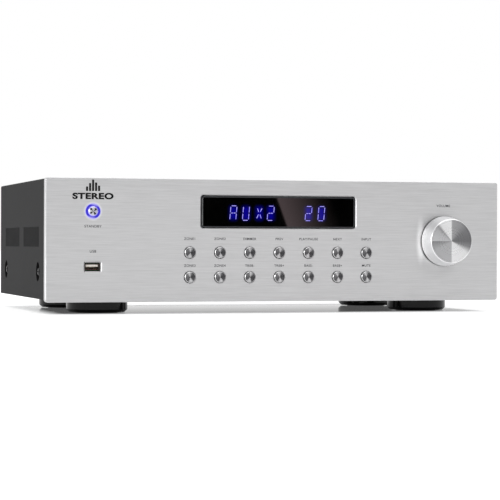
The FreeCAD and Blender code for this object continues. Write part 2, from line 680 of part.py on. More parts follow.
def make_knob():
    """Turned aluminium cap, plastic insert, encoder shaft, encoder and its nut."""
    spot = ("knob_x", "front_y", "knob_z")
    cavity = "knob_face_radius - knob_wall"
    profile = [("0", "-knob_out"), ("knob_face_radius", "-knob_out"),
               ("knob_face_radius + knob_lip", "-knob_out + knob_lip"),
               ("knob_base_radius", "-knob_gap"), ("knob_base_radius - knob_wall", "-knob_gap"),
               (cavity, "-knob_out + knob_crown"), ("0", "-knob_out + knob_crown")]
    keep(spin("volume_knob", profile, spot, "rear"), "volume_knob")
    shaft_front = "-knob_out + knob_crown + shaft_cover"
    insert = [("0", "-knob_out + knob_crown"), (cavity, "-knob_out + knob_crown"),
              (cavity, "-knob_out + knob_crown + insert_disc"),
              ("insert_radius", "-knob_out + knob_crown + insert_disc"),
              ("insert_radius", "-insert_clear"), ("shaft_radius", "-insert_clear"),
              ("shaft_radius", shaft_front), ("0", shaft_front)]
    keep(spin("knob_insert", insert, spot, "rear"), "knob_insert")
    keep(rod("encoder_shaft", ("knob_x", "front_y + " + shaft_front, "knob_z"), "shaft_radius",
             "shaft_end - (%s)" % shaft_front, "rear"), "encoder_shaft")

    case = slab("encoder_case",
                ("knob_x - encoder_width / 2", "chassis_back_y", "knob_z - encoder_tall / 2"),
                ("knob_x + encoder_width / 2", "board_y", "knob_z + encoder_tall / 2"))
    bush_front = "front_y - bush_out"
    bush = rod("encoder_bush", ("knob_x", bush_front, "knob_z"), "bush_radius",
               "chassis_back_y - (%s) + bush_seat" % bush_front, "rear")
    bore = rod("encoder_bore", ("knob_x", bush_front, "knob_z"), "shaft_radius + shaft_run",
               "front_y + shaft_end + bush_seat - (%s)" % bush_front, "rear")
    keep(cut("volume_encoder", fuse("encoder_whole", [case, bush]), [bore]), "volume_encoder")
    blank = doc.addObject("Part::Prism", "nut_blank")
    blank.Polygon = 6
    bind(blank, "Circumradius", "nut_corner")
    bind(blank, "Height", "nut_thick")
    place(blank, ("knob_x", "front_y - nut_thick", "knob_z"), "rear")
    hole = rod("nut_hole", ("knob_x", "front_y - nut_thick", "knob_z"), "bush_radius",
               "nut_thick", "rear")
    keep(cut("encoder_nut", blank, [hole]), "encoder_nut")


def make_control_board():
    """The long board behind the front chassis, with fifteen push switches."""
    board = slab("control_blank",
                 ("-board_left", "board_y", "panel_z + board_low"),
                 ("board_right", "board_y + board_thick", "panel_z + board_high"))
    holes = []
    for number, (x, height) in enumerate(spacer_spots()):
        holes.append(rod("control_hole_%d" % number, (x, "board_y", "panel_z + %s" % height),
                         "screw_radius", "board_thick", "rear"))
    keep(cut("control_board", board, holes), "control_board")
    case = slab("switch_case", ("-switch_side / 2", "-switch_side / 2", "0"),
                ("switch_side / 2", "switch_side / 2", "switch_tall"))
    bore = rod("switch_hole", ("0", "0", "0"), "tip_radius + tip_gap", "switch_bore")
    spots = [(("standby_x", "front_y + switch_face", "standby_z"), "rear")]
    for height in ("row_low", "row_high"):
        for x in button_columns():
            spots.append(((x, "front_y + switch_face", "panel_z + %s" % height), "rear"))
    keep(repeat("tact_switches", cut("tact_switch", case, [bore]), spots), "tact_switches")


# ---- case -----------------------------------------------------------------------

def make_front_chassis():
    """Upright steel sheet behind the panel with a foot that stands on the floor pan."""
    body = new_body("front_chassis", ("0", "chassis_y", "floor_z"))
    drop = "panel_z - floor_z"
    plate = new_sketch(body, "chassis_plate")
    draw_outline(plate, [("-chassis_half", "0"), ("chassis_half", "0"),
                         ("chassis_half", "chassis_top_z - floor_z"),
                         ("-chassis_half", "chassis_top_z - floor_z")])
    pad(body, plate, "sheet", reverse=True)
    foot = new_sketch(body, "chassis_foot", "XY_Plane")
    draw_outline(foot, [("-chassis_half + 2 * sheet", "0"), ("chassis_half - 2 * sheet", "0"),
                        ("chassis_half - 2 * sheet", "flange_depth"),
                        ("-chassis_half + 2 * sheet", "flange_depth")])
    pad(body, foot, "sheet")
    holes = new_sketch(body, "chassis_holes")
    draw_rectangle(holes, "0", "%s + window_middle" % drop, "window_width", "window_height")
    draw_rectangle(holes, "standby_x", "%s + usb_height" % drop, "usb_cut_width",
                   "usb_cut_height")
    draw_circle(holes, "standby_x", "%s + standby_height" % drop,
                "stem_radius + chassis_hole_gap")
    draw_circle(holes, "knob_x", "%s + knob_height" % drop, "bush_radius + bush_gap")
    for x, height in panel_screw_spots():
        draw_circle(holes, x, "%s + %s" % (drop, height), "screw_radius + screw_gap")
    for x, height in spacer_spots():
        draw_circle(holes, x, "%s + %s" % (drop, height), "screw_radius")
    pocket(body, holes, "sheet * 2")
    stems = new_sketch(body, "chassis_stems")
    for height in ("row_low", "row_high"):
        draw_circle(stems, button_columns()[0], "%s + %s" % (drop, height),
                    "stem_radius + chassis_hole_gap")
    feature = pocket(body, stems, "sheet * 2")
    line_up(body, feature, stems, "H_Axis", "button_pitch", COUNTS["buttons"])
    fixings = new_sketch(body, "chassis_fixings", "XY_Plane", "sheet")
    for x in CASE_SCREW_X:
        draw_circle(fixings, x, "flange_depth / 2 + sheet", "screw_radius")
    pocket(body, fixings, "sheet")
    keep(body, "front_chassis")


def make_base_pan():
    """Floor of the case with two upright sides, vent slots and screw holes."""
    long = "rear_inner_y - chassis_y"
    body = new_body("base_pan", ("0", "chassis_y", "foot_tall"))
    floor = new_sketch(body, "pan_floor", "XY_Plane")
    draw_outline(floor, [("-chassis_half", "0"), ("chassis_half", "0"),
                         ("chassis_half", long), ("-chassis_half", long)])
    pad(body, floor, "sheet")
    sides = new_sketch(body, "pan_sides", "XY_Plane")
    for side in (1, -1):
        outer = "(%d) * chassis_half" % side
        inner = "(%d) * (chassis_half - sheet)" % side
        draw_outline(sides, [(inner, "2 * sheet"), (outer, "2 * sheet"),
                             (outer, "%s - 2 * sheet" % long), (inner, "%s - 2 * sheet" % long)])
    pad(body, sides, "flange_height")
    slots = new_sketch(body, "pan_slots", "XY_Plane", "sheet")
    first = "amp_board_x - %g * floor_slot_pitch" % ((COUNTS["floor_slots"] - 1) / 2)
    draw_rectangle(slots, first, "sink_depth - panel_depth", "top_slot_width",
                   "floor_slot_long", "top_slot_corner")
    vents = pocket(body, slots, "sheet")
    line_up(body, vents, slots, "H_Axis", "floor_slot_pitch", COUNTS["floor_slots"])
    holes = new_sketch(body, "pan_holes", "XY_Plane", "sheet")
    for x, depth in foot_spots():
        draw_circle(holes, x, "%s - panel_depth" % depth, "screw_radius")
    for x in CASE_SCREW_X:
        draw_circle(holes, x, "flange_depth / 2 + sheet", "screw_radius + screw_gap")
        draw_circle(holes, x, "%s - flange_depth / 2" % long, "screw_radius + screw_gap")
    pocket(body, holes, "sheet")
    screws = new_sketch(body, "pan_side_holes", "YZ_Plane")
    for depth in ("dimple_front", "dimple_rear"):
        draw_circle(screws, "%s - panel_depth" % depth, "dimple_height - panel_drop",
                    "cover_screw_radius")
    pocket(body, screws, midplane=True)
    keep(body, "base_pan")


def make_rear_panel():
    """Upright steel sheet with the socket cut-outs and a foot on the floor pan."""
    drop = "panel_z - foot_tall"
    body = new_body("rear_panel", ("0", "rear_inner_y", "foot_tall"))
    plate = new_sketch(body, "rear_plate")
    draw_outline(plate, [("-rear_half", "0"), ("rear_half", "0"),
                         ("rear_half", "chassis_top_z - foot_tall"),
                         ("-rear_half", "chassis_top_z - foot_tall")])
    pad(body, plate, "sheet", reverse=True)
    foot = new_sketch(body, "rear_foot", "XY_Plane", "sheet")
    draw_outline(foot, [("-chassis_half + 2 * sheet", "sheet / 2"),
                        ("chassis_half - 2 * sheet", "sheet / 2"),
                        ("chassis_half - 2 * sheet", "-flange_depth"),
                        ("-chassis_half + 2 * sheet", "-flange_depth")])
    pad(body, foot, "sheet")
    holes = new_sketch(body, "rear_holes")
    for x, height in speaker_spots():
        draw_circle(holes, x, "%s + %s" % (drop, height), "speaker_radius")
    for x, height in rca_spots():
        draw_circle(holes, x, "%s + %s" % (drop, height), "rca_radius + rca_gap")
    draw_circle(holes, "antenna_x", "%s + antenna_height" % drop, "antenna_radius + rca_gap")
    draw_rectangle(holes, "inlet_x", "%s + inlet_height" % drop, "inlet_body_width",
                   "inlet_body_tall", "inlet_corner")
    draw_rectangle(holes, "rocker_x", "%s + rocker_height" % drop, switch_body_width(),
                   switch_body_tall())
    for x in ("-tab_x", "0", "tab_x"):
        draw_circle(holes, x, "cover_tall - sheet - tab_height / 2",
                    "cover_screw_radius + screw_gap")
    pocket(body, holes, "sheet * 2")
    fixings = new_sketch(body, "rear_fixings", "XY_Plane", "2 * sheet")
    for x in CASE_SCREW_X:
        draw_circle(fixings, x, "-flange_depth / 2", "screw_radius")
    pocket(body, fixings, "sheet")
    keep(body, "rear_panel")


def make_top_cover():
    """Folded cover: a top and two sides, with dimples, vent slots and rear tabs."""
    body = new_body("top_cover", ("0", "chassis_y", "foot_tall"))
    section = new_sketch(body, "cover_section")
    inner_bend = "cover_bend - sheet"
    draw_outline(section, [("-cover_half", "0"), ("-cover_half", "cover_tall", "cover_bend"),
                           ("cover_half", "cover_tall", "cover_bend"), ("cover_half", "0"),
                           ("cover_half - sheet", "0"),
                           ("cover_half - sheet", "cover_tall - sheet", inner_bend),
                           ("-cover_half + sheet", "cover_tall - sheet", inner_bend),
                           ("-cover_half + sheet", "0")])
    pad(body, section, "cover_depth", reverse=True)
    for side, word in ((1, "right"), (-1, "left")):
        away = side < 0
        cups = new_sketch(body, "cover_cups_" + word, "YZ_Plane",
                          "(%d) * (cover_half - sheet - dimple_depth)" % side)
        dimples = new_sketch(body, "cover_dimples_" + word, "YZ_Plane",
                             "(%d) * cover_half" % side)
        for depth in ("dimple_front", "dimple_rear"):
            spot = ("%s - panel_depth" % depth, "dimple_height - panel_drop")
            draw_circle(cups, spot[0], spot[1], "dimple_radius + sheet")
            draw_circle(dimples, spot[0], spot[1], "dimple_radius")
        pad(body, cups, "dimple_depth + sheet / 2", reverse=away)
        pocket(body, dimples, "dimple_depth", reverse=away)
    screws = new_sketch(body, "cover_side_holes", "YZ_Plane")
    for depth in ("dimple_front", "dimple_rear"):
        draw_circle(screws, "%s - panel_depth" % depth, "dimple_height - panel_drop",
                    "cover_screw_radius + screw_gap")
    pocket(body, screws, midplane=True)
    slots = new_sketch(body, "cover_side_slots", "YZ_Plane")
    for depth in ("side_slot_front", "side_slot_rear"):
        draw_rectangle(slots, "%s - panel_depth" % depth, "side_slot_middle - panel_drop",
                       "side_slot_width", "side_slot_height")
    vents = pocket(body, slots, midplane=True)
    line_up(body, vents, slots, "H_Axis", "side_slot_pitch", COUNTS["side_slots"])
    grille = new_sketch(body, "cover_top_slots", "XY_Plane", "cover_tall")
    first = "-%g * top_slot_pitch" % ((COUNTS["top_slots"] - 1) / 2)
    for number in range(COUNTS["top_slot_rows"]):
        draw_rectangle(grille, first, "top_slot_start + %d * top_slot_row" % number,
                       "top_slot_width", "top_slot_length", "top_slot_corner")
    vents = pocket(body, grille, "2 * sheet")
    line_up(body, vents, grille, "H_Axis", "top_slot_pitch", COUNTS["top_slots"])
    tabs = new_sketch(body, "cover_tabs", offset="-(cover_depth - 2 * sheet)")
    holes = new_sketch(body, "cover_tab_holes", offset="-(cover_depth - 2 * sheet)")
    for x in ("-tab_x", "0", "tab_x"):
        draw_rectangle(tabs, x, "cover_tall - sheet / 2 - tab_height / 2", "tab_width",
                       "tab_height")
        draw_circle(holes, x, "cover_tall - sheet - tab_height / 2", "cover_screw_radius")
    pad(body, tabs, "sheet", reverse=True)
    pocket(body, holes, "sheet")
    keep(body, "top_cover")


def make_feet():
    """Four moulded feet, each with a rubber pad let into its underside."""
    recess = "pad_radius + pad_gap"
    bore = "screw_head_radius + counterbore_gap"
    profile = [(recess, "pad_proud"), ("foot_radius - foot_chamfer", "pad_proud"),
               ("foot_radius", "pad_proud + foot_chamfer"), ("foot_radius", "foot_tall"),
               ("screw_radius + screw_gap", "foot_tall"),
               ("screw_radius + screw_gap", "foot_tall - foot_web"),
               (bore, "foot_tall - foot_web"), (bore, "pad_thick"), (recess, "pad_thick")]
    spots = [((x, "front_y + %s" % depth, "0"), "up") for x, depth in foot_spots()]
    keep(repeat("feet", spin("foot", profile), spots), "feet")
    pad_disc = rod("foot_pad", ("0", "0", "0"), "pad_radius", "pad_thick")
    keep(repeat("foot_pads", pad_disc, spots), "foot_pads")


def screw(name, radius, head_radius, head, long):
    """A pan head screw with a cross recess. Its seat is at height 0, its tip above."""
    profile = [("0", "-(%s)" % head), ("%s * head_flat_share" % head_radius, "-(%s)" % head),
               (head_radius, "-(%s) * head_rim_share" % head), (head_radius, "0"), (radius, "0"),
               (radius, long), ("0", long)]
    reach = "%s * recess_share" % head_radius
    bars = []
    for letter, x, y in (("a", reach, "recess_width / 2"), ("b", "recess_width / 2", reach)):
        bars.append(slab("%s_recess_%s" % (name, letter),
                         ("-(%s)" % x, "-(%s)" % y, "-(%s)" % head),
                         (x, y, "recess_deep - (%s)" % head)))
    return cut(name, spin(name + "_blank", profile), bars)


def make_screws():
    cover = screw("cover_screw", "cover_screw_radius", "cover_screw_head_radius",
                  "cover_screw_head", "screw_long")
    seat = "cover_half - dimple_depth"
    spots = []
    for x, along in ((seat, "left"), ("-(%s)" % seat, "right")):
        for depth in ("dimple_front", "dimple_rear"):
            spots.append(((x, "front_y + %s" % depth, "panel_z + dimple_height"), along))
    keep(repeat("cover_side_screws", cover, spots), "cover_side_screws")
    height = "foot_tall + cover_tall - sheet - tab_height / 2"
    spots = [((x, "rear_y", height), "front") for x in ("-tab_x", "0", "tab_x")]
    keep(repeat("cover_rear_screws", cover, spots), "cover_rear_screws")

    small = screw("chassis_screw", "screw_radius", "screw_head_radius", "screw_head",
                  "screw_long")
    spots = []
    for x, depth in foot_spots():
        spots.append(((x, "front_y + %s" % depth, "foot_tall - foot_web"), "up"))
    for x in CASE_SCREW_X:
        spots.append(((x, "chassis_y + flange_depth / 2 + sheet", "foot_tall"), "up"))
        spots.append(((x, "rear_inner_y - flange_depth / 2", "foot_tall"), "up"))
    for x, height in panel_screw_spots():
        spots.append(((x, "chassis_back_y", "panel_z + %s" % height), "front"))
    for x, height in spacer_spots():
        spots.append(((x, "board_y + board_thick", "panel_z + %s" % height), "front"))
    for x, depth in floor_board_spots():
        spots.append(((x, "front_y + %s" % depth, "board_top_z"), "down"))
    keep(repeat("chassis_screws", small, spots), "chassis_screws")


# ---- inside ---------------------------------------------------------------------

def make_standoffs():
    """Threaded spacers under the floor boards and in front of the control board."""
    tubes = []
    rows = (("floor", "standoff",
             [((x, "front_y + %s" % depth, "floor_z"), "up") for x, depth in floor_board_spots()]),
            ("front", "board_depth - panel_depth - sheet",
             [((x, "chassis_back_y", "panel_z + %s" % height), "rear")
              for x, height in spacer_spots()]))
    for word, long, spots in rows:
        tube = cut("spacer_" + word,
                   rod("spacer_body_" + word, ("0", "0", "0"), "spacer_radius", long),
                   [rod("spacer_hole_" + word, ("0", "0", "0"), "screw_radius", long)])
        tubes.append(repeat("spacers_" + word, tube, spots))
    keep(group("board_standoffs", tubes), "board_standoffs")


def floor_board(name, middle, width, front, long):
    """A board on spacers above the floor pan, with its four screw holes."""
    blank = slab(name + "_blank",
                 ("%s - %s / 2" % (middle, width), "front_y + %s" % front, "floor_z + standoff"),
                 ("%s + %s / 2" % (middle, width), "front_y + %s + %s" % (front, long),
                  "board_top_z"))
    holes = []
    for number, (x, depth) in enumerate(board_corners(middle, width, front, long)):
        holes.append(rod("%s_hole_%d" % (name, number),
                         (x, "front_y + %s" % depth, "floor_z + standoff"),
                         "screw_radius", "board_thick"))
    keep(cut(name, blank, holes), name)


def make_power_supply():
    floor_board("power_board", "power_board_x", "power_board_width", "power_board_front",
                "power_board_long")
    can = rod("capacitor", ("0", "0", "0"), "capacitor_radius", "capacitor_tall")
    middle = "front_y + power_board_front + power_board_long / 2"
    spots = [(("power_board_x + (%g) * capacitor_pitch" % side, middle, "board_top_z"), "up")
             for side in (0, 1)]
    keep(repeat("filter_capacitors", can, spots), "filter_capacitors")


def make_amplifier():
    """Amplifier board, finned heat sink standing on it, and four chips against it."""
    floor_board("amplifier_board", "amp_board_x", "amp_board_width", "amp_board_front",
                "amp_board_long")
    body = new_body("heat_sink", ("amp_board_x", "front_y + sink_depth", "board_top_z"))
    base = new_sketch(body, "sink_plate", "XY_Plane")
    draw_rectangle(base, "0", "sink_base / 2", "sink_width", "sink_base")
    pad(body, base, "sink_tall")
    fin = new_sketch(body, "sink_fin", "XY_Plane")
    first = "-%g * fin_pitch" % ((COUNTS["fins"] - 1) / 2)
    draw_outline(fin, [("%s - fin_thick / 2" % first, "sink_base / 2"),
                       ("%s + fin_thick / 2" % first, "sink_base / 2"),
                       ("%s + fin_thick / 2" % first, "sink_base + fin_long"),
                       ("%s - fin_thick / 2" % first, "sink_base + fin_long")])
    feature = pad(body, fin, "sink_tall")
    line_up(body, feature, fin, "H_Axis", "fin_pitch", COUNTS["fins"])
    keep(body, "heat_sink")
    chip = slab("amplifier_chip", ("-chip_width / 2", "0", "0"),
                ("chip_width / 2", "chip_thick", "chip_tall"))
    half = (COUNTS["chips"] - 1) / 2
    spots = [(("amp_board_x + (%g) * chip_pitch" % (number - half),
               "front_y + sink_depth - chip_thick", "board_top_z + chip_rise"), "up")
             for number in range(COUNTS["chips"])]
    keep(repeat("amplifier_chips", chip, spots), "amplifier_chips")


def make_ribbon_cable():
    """Flat cable from the back of the control board down to the amplifier board."""
    body = new_body("ribbon_cable", ("ribbon_x", "front_y", "floor_z"))
    strip = new_sketch(body, "ribbon_side", "YZ_Plane")
    half = "ribbon_thick / 2"
    wide = "ribbon_bend + ribbon_thick / 2"
    tight = "ribbon_bend - ribbon_thick / 2"
    start = "board_depth + board_thick"
    end = "standoff + board_thick"
    drop_front = "ribbon_drop_depth - " + half
    drop_rear = "ribbon_drop_depth + " + half
    draw_outline(strip, [(start, "ribbon_high - " + half), (start, "ribbon_high + " + half),
                         (drop_rear, "ribbon_high + " + half, wide),
                         (drop_rear, "ribbon_low + " + half, tight),
                         ("ribbon_end_depth + " + half, "ribbon_low + " + half, wide),
                         ("ribbon_end_depth + " + half, end), ("ribbon_end_depth - " + half, end),
                         ("ribbon_end_depth - " + half, "ribbon_low - " + half, tight),
                         (drop_front, "ribbon_low - " + half, wide),
                         (drop_front, "ribbon_high - " + half, tight)])
    pad(body, strip, "ribbon_width")
    keep(body, "ribbon_cable")


def make_transformer():
    """Laminated core, the coil round its middle leg, and the strap that holds it."""
    middle = "front_y + core_depth"
    leg = "(core_width - 2 * yoke - 2 * core_window) / 2"
    core = slab("core_block",
                ("core_x - core_width / 2", middle + " - core_thick / 2", "floor_z"),
                ("core_x + core_width / 2", middle + " + core_thick / 2",
                 "floor_z + core_tall"))
    windows = []
    for side, word in ((-1, "left"), (1, "right")):
        centre = "core_x + (%d) * (%s + core_window / 2)" % (side, leg)
        windows.append(slab("core_window_" + word,
                            (centre + " - core_window / 2", middle + " - core_thick",
                             "floor_z + yoke"),
                            (centre + " + core_window / 2", middle + " + core_thick",
                             "floor_z + core_tall - yoke")))
    keep(cut("transformer_core", core, windows), "transformer_core")
    coil = slab("coil_block",
                ("core_x - %s - core_window" % leg,
                 middle + " - core_thick / 2 - coil_bulge", "floor_z + yoke"),
                ("core_x + %s + core_window" % leg,
                 middle + " + core_thick / 2 + coil_bulge", "floor_z + core_tall - yoke"))
    tunnel = slab("coil_tunnel",
                  ("core_x - %s" % leg, middle + " - core_thick / 2", "floor_z"),
                  ("core_x + %s" % leg, middle + " + core_thick / 2", "floor_z + core_tall"))
    keep(cut("transformer_winding", coil, [tunnel]), "transformer_winding")
    body = new_body("transformer_bracket", ("core_x", middle, "floor_z"))
    strap = new_sketch(body, "strap_section")
    inner = "core_width / 2"
    outer = "core_width / 2 + bracket_sheet"
    wing = "core_width / 2 + bracket_foot"
    draw_outline(strap, [("-(%s)" % wing, "0"), ("-(%s)" % inner, "0"),
                         ("-(%s)" % inner, "core_tall"), (inner, "core_tall"), (inner, "0"),
                         (wing, "0"), (wing, "bracket_sheet"), (outer, "bracket_sheet"),
                         (outer, "core_tall + bracket_sheet"),
                         ("-(%s)" % outer, "core_tall + bracket_sheet"),
                         ("-(%s)" % outer, "bracket_sheet"), ("-(%s)" % wing, "bracket_sheet")])
    feature = pad(body, strap, "strap_width")
    feature.Midplane = True
    keep(body, "transformer_bracket")


# ---- rear sockets ---------------------------------------------------------------

def speaker_spots():
    spots = []
    for row in range(2):
        for column in range(COUNTS["speaker_columns"]):
            spots.append(("speaker_x + %d * speaker_pitch" % column,
                          "speaker_low + %d * speaker_row" % row))
    return spots


def rca_spots():
    spots = []
    for row in range(2):
        for column in range(COUNTS["rca_columns"]):
            spots.append(("rca_x + %d * rca_pitch" % column, "rca_low + %d * rca_pitch" % row))
    return spots


def make_speaker_sockets():
    """Sixteen sockets for 4 mm plugs: an insulating body round a turned contact."""
    profile = [("contact_radius", "-speaker_long"), ("speaker_radius", "-speaker_long"),
               ("speaker_radius", "0"), ("speaker_flange", "0"),
               ("speaker_flange", "speaker_flange_thick"),
               ("contact_radius", "speaker_flange_thick")]
    socket = spin("speaker_socket", profile)
    spots = [((x, "rear_y", "panel_z + %s" % height), "rear") for x, height in speaker_spots()]
    half = COUNTS["speaker_columns"]
    keep(repeat("speaker_sockets_black", socket, spots[:half]), "speaker_sockets_black")
    keep(repeat("speaker_sockets_red", socket, spots[half:]), "speaker_sockets_red")
    mouth = "speaker_flange_thick - contact_recess"
    contact = [("contact_bore", mouth), ("contact_radius", mouth),
               ("contact_radius", mouth + " - contact_long"), ("0", mouth + " - contact_long"),
               ("0", mouth + " - contact_bore_long"),
               ("contact_bore", mouth + " - contact_bore_long")]
    keep(repeat("speaker_socket_contacts", spin("speaker_contact", contact), spots),
         "speaker_socket_contacts")


def make_signal_sockets():
    """Phono sockets and the antenna socket, on one upright board behind the panel."""
    board_gap = "sheet + input_board_gap"
    shell = [("rca_bore", "-(%s)" % board_gap), ("rca_radius", "-(%s)" % board_gap),
             ("rca_radius", "0"), ("rca_collar", "0"), ("rca_collar", "rca_collar_thick"),
             ("rca_radius", "rca_collar_thick"), ("rca_radius", "rca_out"),
             ("rca_bore", "rca_out")]
    insulator = [("rca_pin_hole", "0"), ("rca_bore", "0"), ("rca_bore", "rca_out - rca_recess"),
                 ("rca_pin_hole", "rca_out - rca_recess")]
    spots = [((x, "rear_y", "panel_z + %s" % height), "rear") for x, height in rca_spots()]
    keep(repeat("rca_shells", spin("rca_shell", shell), spots), "rca_shells")
    keep(repeat("rca_insulators", spin("rca_insulator", insulator), spots), "rca_insulators")
    spot = ("antenna_x", "rear_y", "panel_z + antenna_height")
    cup = [("0", "-(%s)" % board_gap), ("antenna_radius", "-(%s)" % board_gap),
           ("antenna_radius", "0"), ("antenna_collar", "0"),
           ("antenna_collar", "antenna_floor"), ("antenna_radius", "antenna_floor"),
           ("antenna_radius", "antenna_out"), ("antenna_bore", "antenna_out"),
           ("antenna_bore", "antenna_floor"), ("antenna_pin", "antenna_floor"),
           ("antenna_pin", "antenna_out - rca_recess"), ("0", "antenna_out - rca_recess")]
    keep(spin("antenna_socket", cup, spot, "rear"), "antenna_socket")
    keep(slab("input_board",
              ("rca_x - input_board_left", "input_board_y - board_thick",
               "panel_z + input_board_low"),
              ("antenna_x + input_board_right", "input_board_y",
               "panel_z + input_board_high")),
         "input_board")


def blade_spots():
    """The three blades of the inlet: two live blades low, the earth blade between."""
    return (("-blade_pitch", "-blade_drop"), ("0", "blade_drop"), ("blade_pitch", "-blade_drop"))


def make_mains_inlet():
    """Appliance inlet: a flanged body with a keyed cavity and three blades in it."""
    body = new_body("mains_inlet", ("inlet_x", "rear_y", "inlet_z"))
    flange = new_sketch(body, "inlet_flange", offset="-inlet_flange_thick")
    draw_rectangle(flange, "0", "0", "inlet_flange_width", "inlet_flange_tall", "inlet_corner")
    pad(body, flange, "inlet_flange_thick")
    trunk = new_sketch(body, "inlet_trunk", offset="-inlet_flange_thick / 2")
    draw_rectangle(trunk, "0", "0", "inlet_body_width", "inlet_body_tall", "inlet_corner")
    pad(body, trunk, "inlet_cavity_deep + inlet_floor - inlet_flange_thick / 2")
    cavity = new_sketch(body, "inlet_cavity", offset="-inlet_flange_thick")
    right = "inlet_cavity_width / 2"
    high = "inlet_cavity_tall / 2"
    draw_outline(cavity, [("-(%s)" % right, "-(%s)" % high), (right, "-(%s)" % high),
                          (right, high + " - inlet_key"), (right + " - inlet_key", high),
                          ("-(%s) + inlet_key" % right, high),
                          ("-(%s)" % right, high + " - inlet_key")])
    pocket(body, cavity, "inlet_cavity_deep", reverse=True)
    slots = new_sketch(body, "inlet_blade_slots", offset="-inlet_flange_thick")
    blades = []
    floor = "rear_y + inlet_flange_thick - inlet_cavity_deep"
    for number, (x, z) in enumerate(blade_spots()):
        draw_rectangle(slots, x, z, "blade_width", "blade_tall")
        blades.append(slab("inlet_blade_%d" % number,
                           ("inlet_x + %s - blade_width / 2" % x,
                            floor + " - inlet_floor - blade_tag",
                            "inlet_z + %s - blade_tall / 2" % z),
                           ("inlet_x + %s + blade_width / 2" % x, floor + " + blade_long",
                            "inlet_z + %s + blade_tall / 2" % z)))
    pocket(body, slots, reverse=True)
    keep(body, "mains_inlet")
    keep(group("mains_inlet_pins", blades), "mains_inlet_pins")


def switch_pocket_width():
    return "(rocker_width + 2 * rocker_side_gap)"


def switch_pocket_tall():
    return "(2 * rocker_half + 2 * rocker_end_gap)"


def switch_body_width():
    return "(%s + 2 * switch_wall)" % switch_pocket_width()


def switch_body_tall():
    return "(%s + 2 * switch_wall)" % switch_pocket_tall()


def make_power_switch():
    """Two-pole rocker switch. The rocker turns on two stub pins in the housing."""
    depth = "(rocker_pivot + rocker_root + rocker_bottom_gap)"
    body = new_body("power_switch_housing", ("rocker_x", "rear_y", "rocker_z"))
    flange = new_sketch(body, "switch_flange_outline", offset="-switch_flange_thick")
    draw_rectangle(flange, "0", "0", switch_body_width() + " + 2 * switch_flange",
                   switch_body_tall() + " + 2 * switch_flange", "switch_flange")
    pad(body, flange, "switch_flange_thick")
    trunk = new_sketch(body, "switch_trunk", offset="-switch_flange_thick / 2")
    draw_rectangle(trunk, "0", "0", switch_body_width(), switch_body_tall())
    pad(body, trunk, depth + " + switch_floor + switch_flange_thick / 2")
    well = new_sketch(body, "switch_well", offset="-switch_flange_thick")
    draw_rectangle(well, "0", "0", switch_pocket_width(), switch_pocket_tall())
    pocket(body, well, depth + " + switch_flange_thick", reverse=True)
    bearings = new_sketch(body, "switch_bearings", "YZ_Plane")
    draw_circle(bearings, "-rocker_pivot", "0", "rocker_pin + rocker_pin_run")
    feature = pocket(body, bearings,
                     "rocker_width + 2 * rocker_pin_out + 2 * rocker_pin_seat", midplane=True)
    body.Tip = feature
    keep(body, "power_switch_housing")

    rocker = new_body("power_rocker", ("rocker_x", "rocker_y", "rocker_z"))
    rocker.Placement = FreeCAD.Placement(
        FreeCAD.Vector(), FreeCAD.Rotation(FreeCAD.Vector(1, 0, 0), measure("rocker_tilt")))
    for letter, formula in zip("xyz", ("rocker_x", "rocker_y", "rocker_z")):
        bind(rocker, "Placement.Base." + letter, formula)
    bind(rocker, "Placement.Rotation.Angle", "rocker_tilt")
    side = new_sketch(rocker, "rocker_side", "YZ_Plane")
    draw_outline(side, [("-rocker_root", "-rocker_root_half"), ("rocker_end", "-rocker_half"),
                        ("rocker_middle", "0"), ("rocker_end", "rocker_half"),
                        ("-rocker_root", "rocker_root_half")])
    block = pad(rocker, side, "rocker_width")
    block.Midplane = True
    pins = new_sketch(rocker, "rocker_pins", "YZ_Plane")
    draw_circle(pins, "0", "0", "rocker_pin")
    stub = pad(rocker, pins, "rocker_width + 2 * rocker_pin_out")
    stub.Midplane = True
    keep(rocker, "power_rocker")


make_front_panel()
make_display()
make_standby()
make_buttons()
make_guide_frame()
make_usb()
make_knob()
make_control_board()
make_front_chassis()
make_base_pan()
make_rear_panel()
make_top_cover()
make_feet()
make_screws()
make_standoffs()
make_power_supply()
make_amplifier()
make_ribbon_cable()
make_transformer()
make_speaker_sockets()
make_signal_sockets()
make_mains_inlet()
make_power_switch()
doc.recompute()

for item in doc.Objects:
    if "Invalid" in item.State or "Error" in item.State:
        raise SystemExit("failed object: %s %s" % (item.Name, item.State))
os.makedirs("parts", exist_ok=True)
for node in nodes:
    if node.Shape.isNull() or not node.Shape.isValid() or not node.Shape.Solids:
        raise SystemExit("bad shape: " + node.Label)
for node in nodes:
    node.Shape.exportStep(os.path.join("parts", node.Label + ".step"))
    print(node.Label, len(node.Shape.Solids), "solids, volume", round(node.Shape.Volume, 1))
print(len(nodes), "nodes")
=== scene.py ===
import math
import random

import bmesh
import bpy
from mathutils import Matrix, Vector


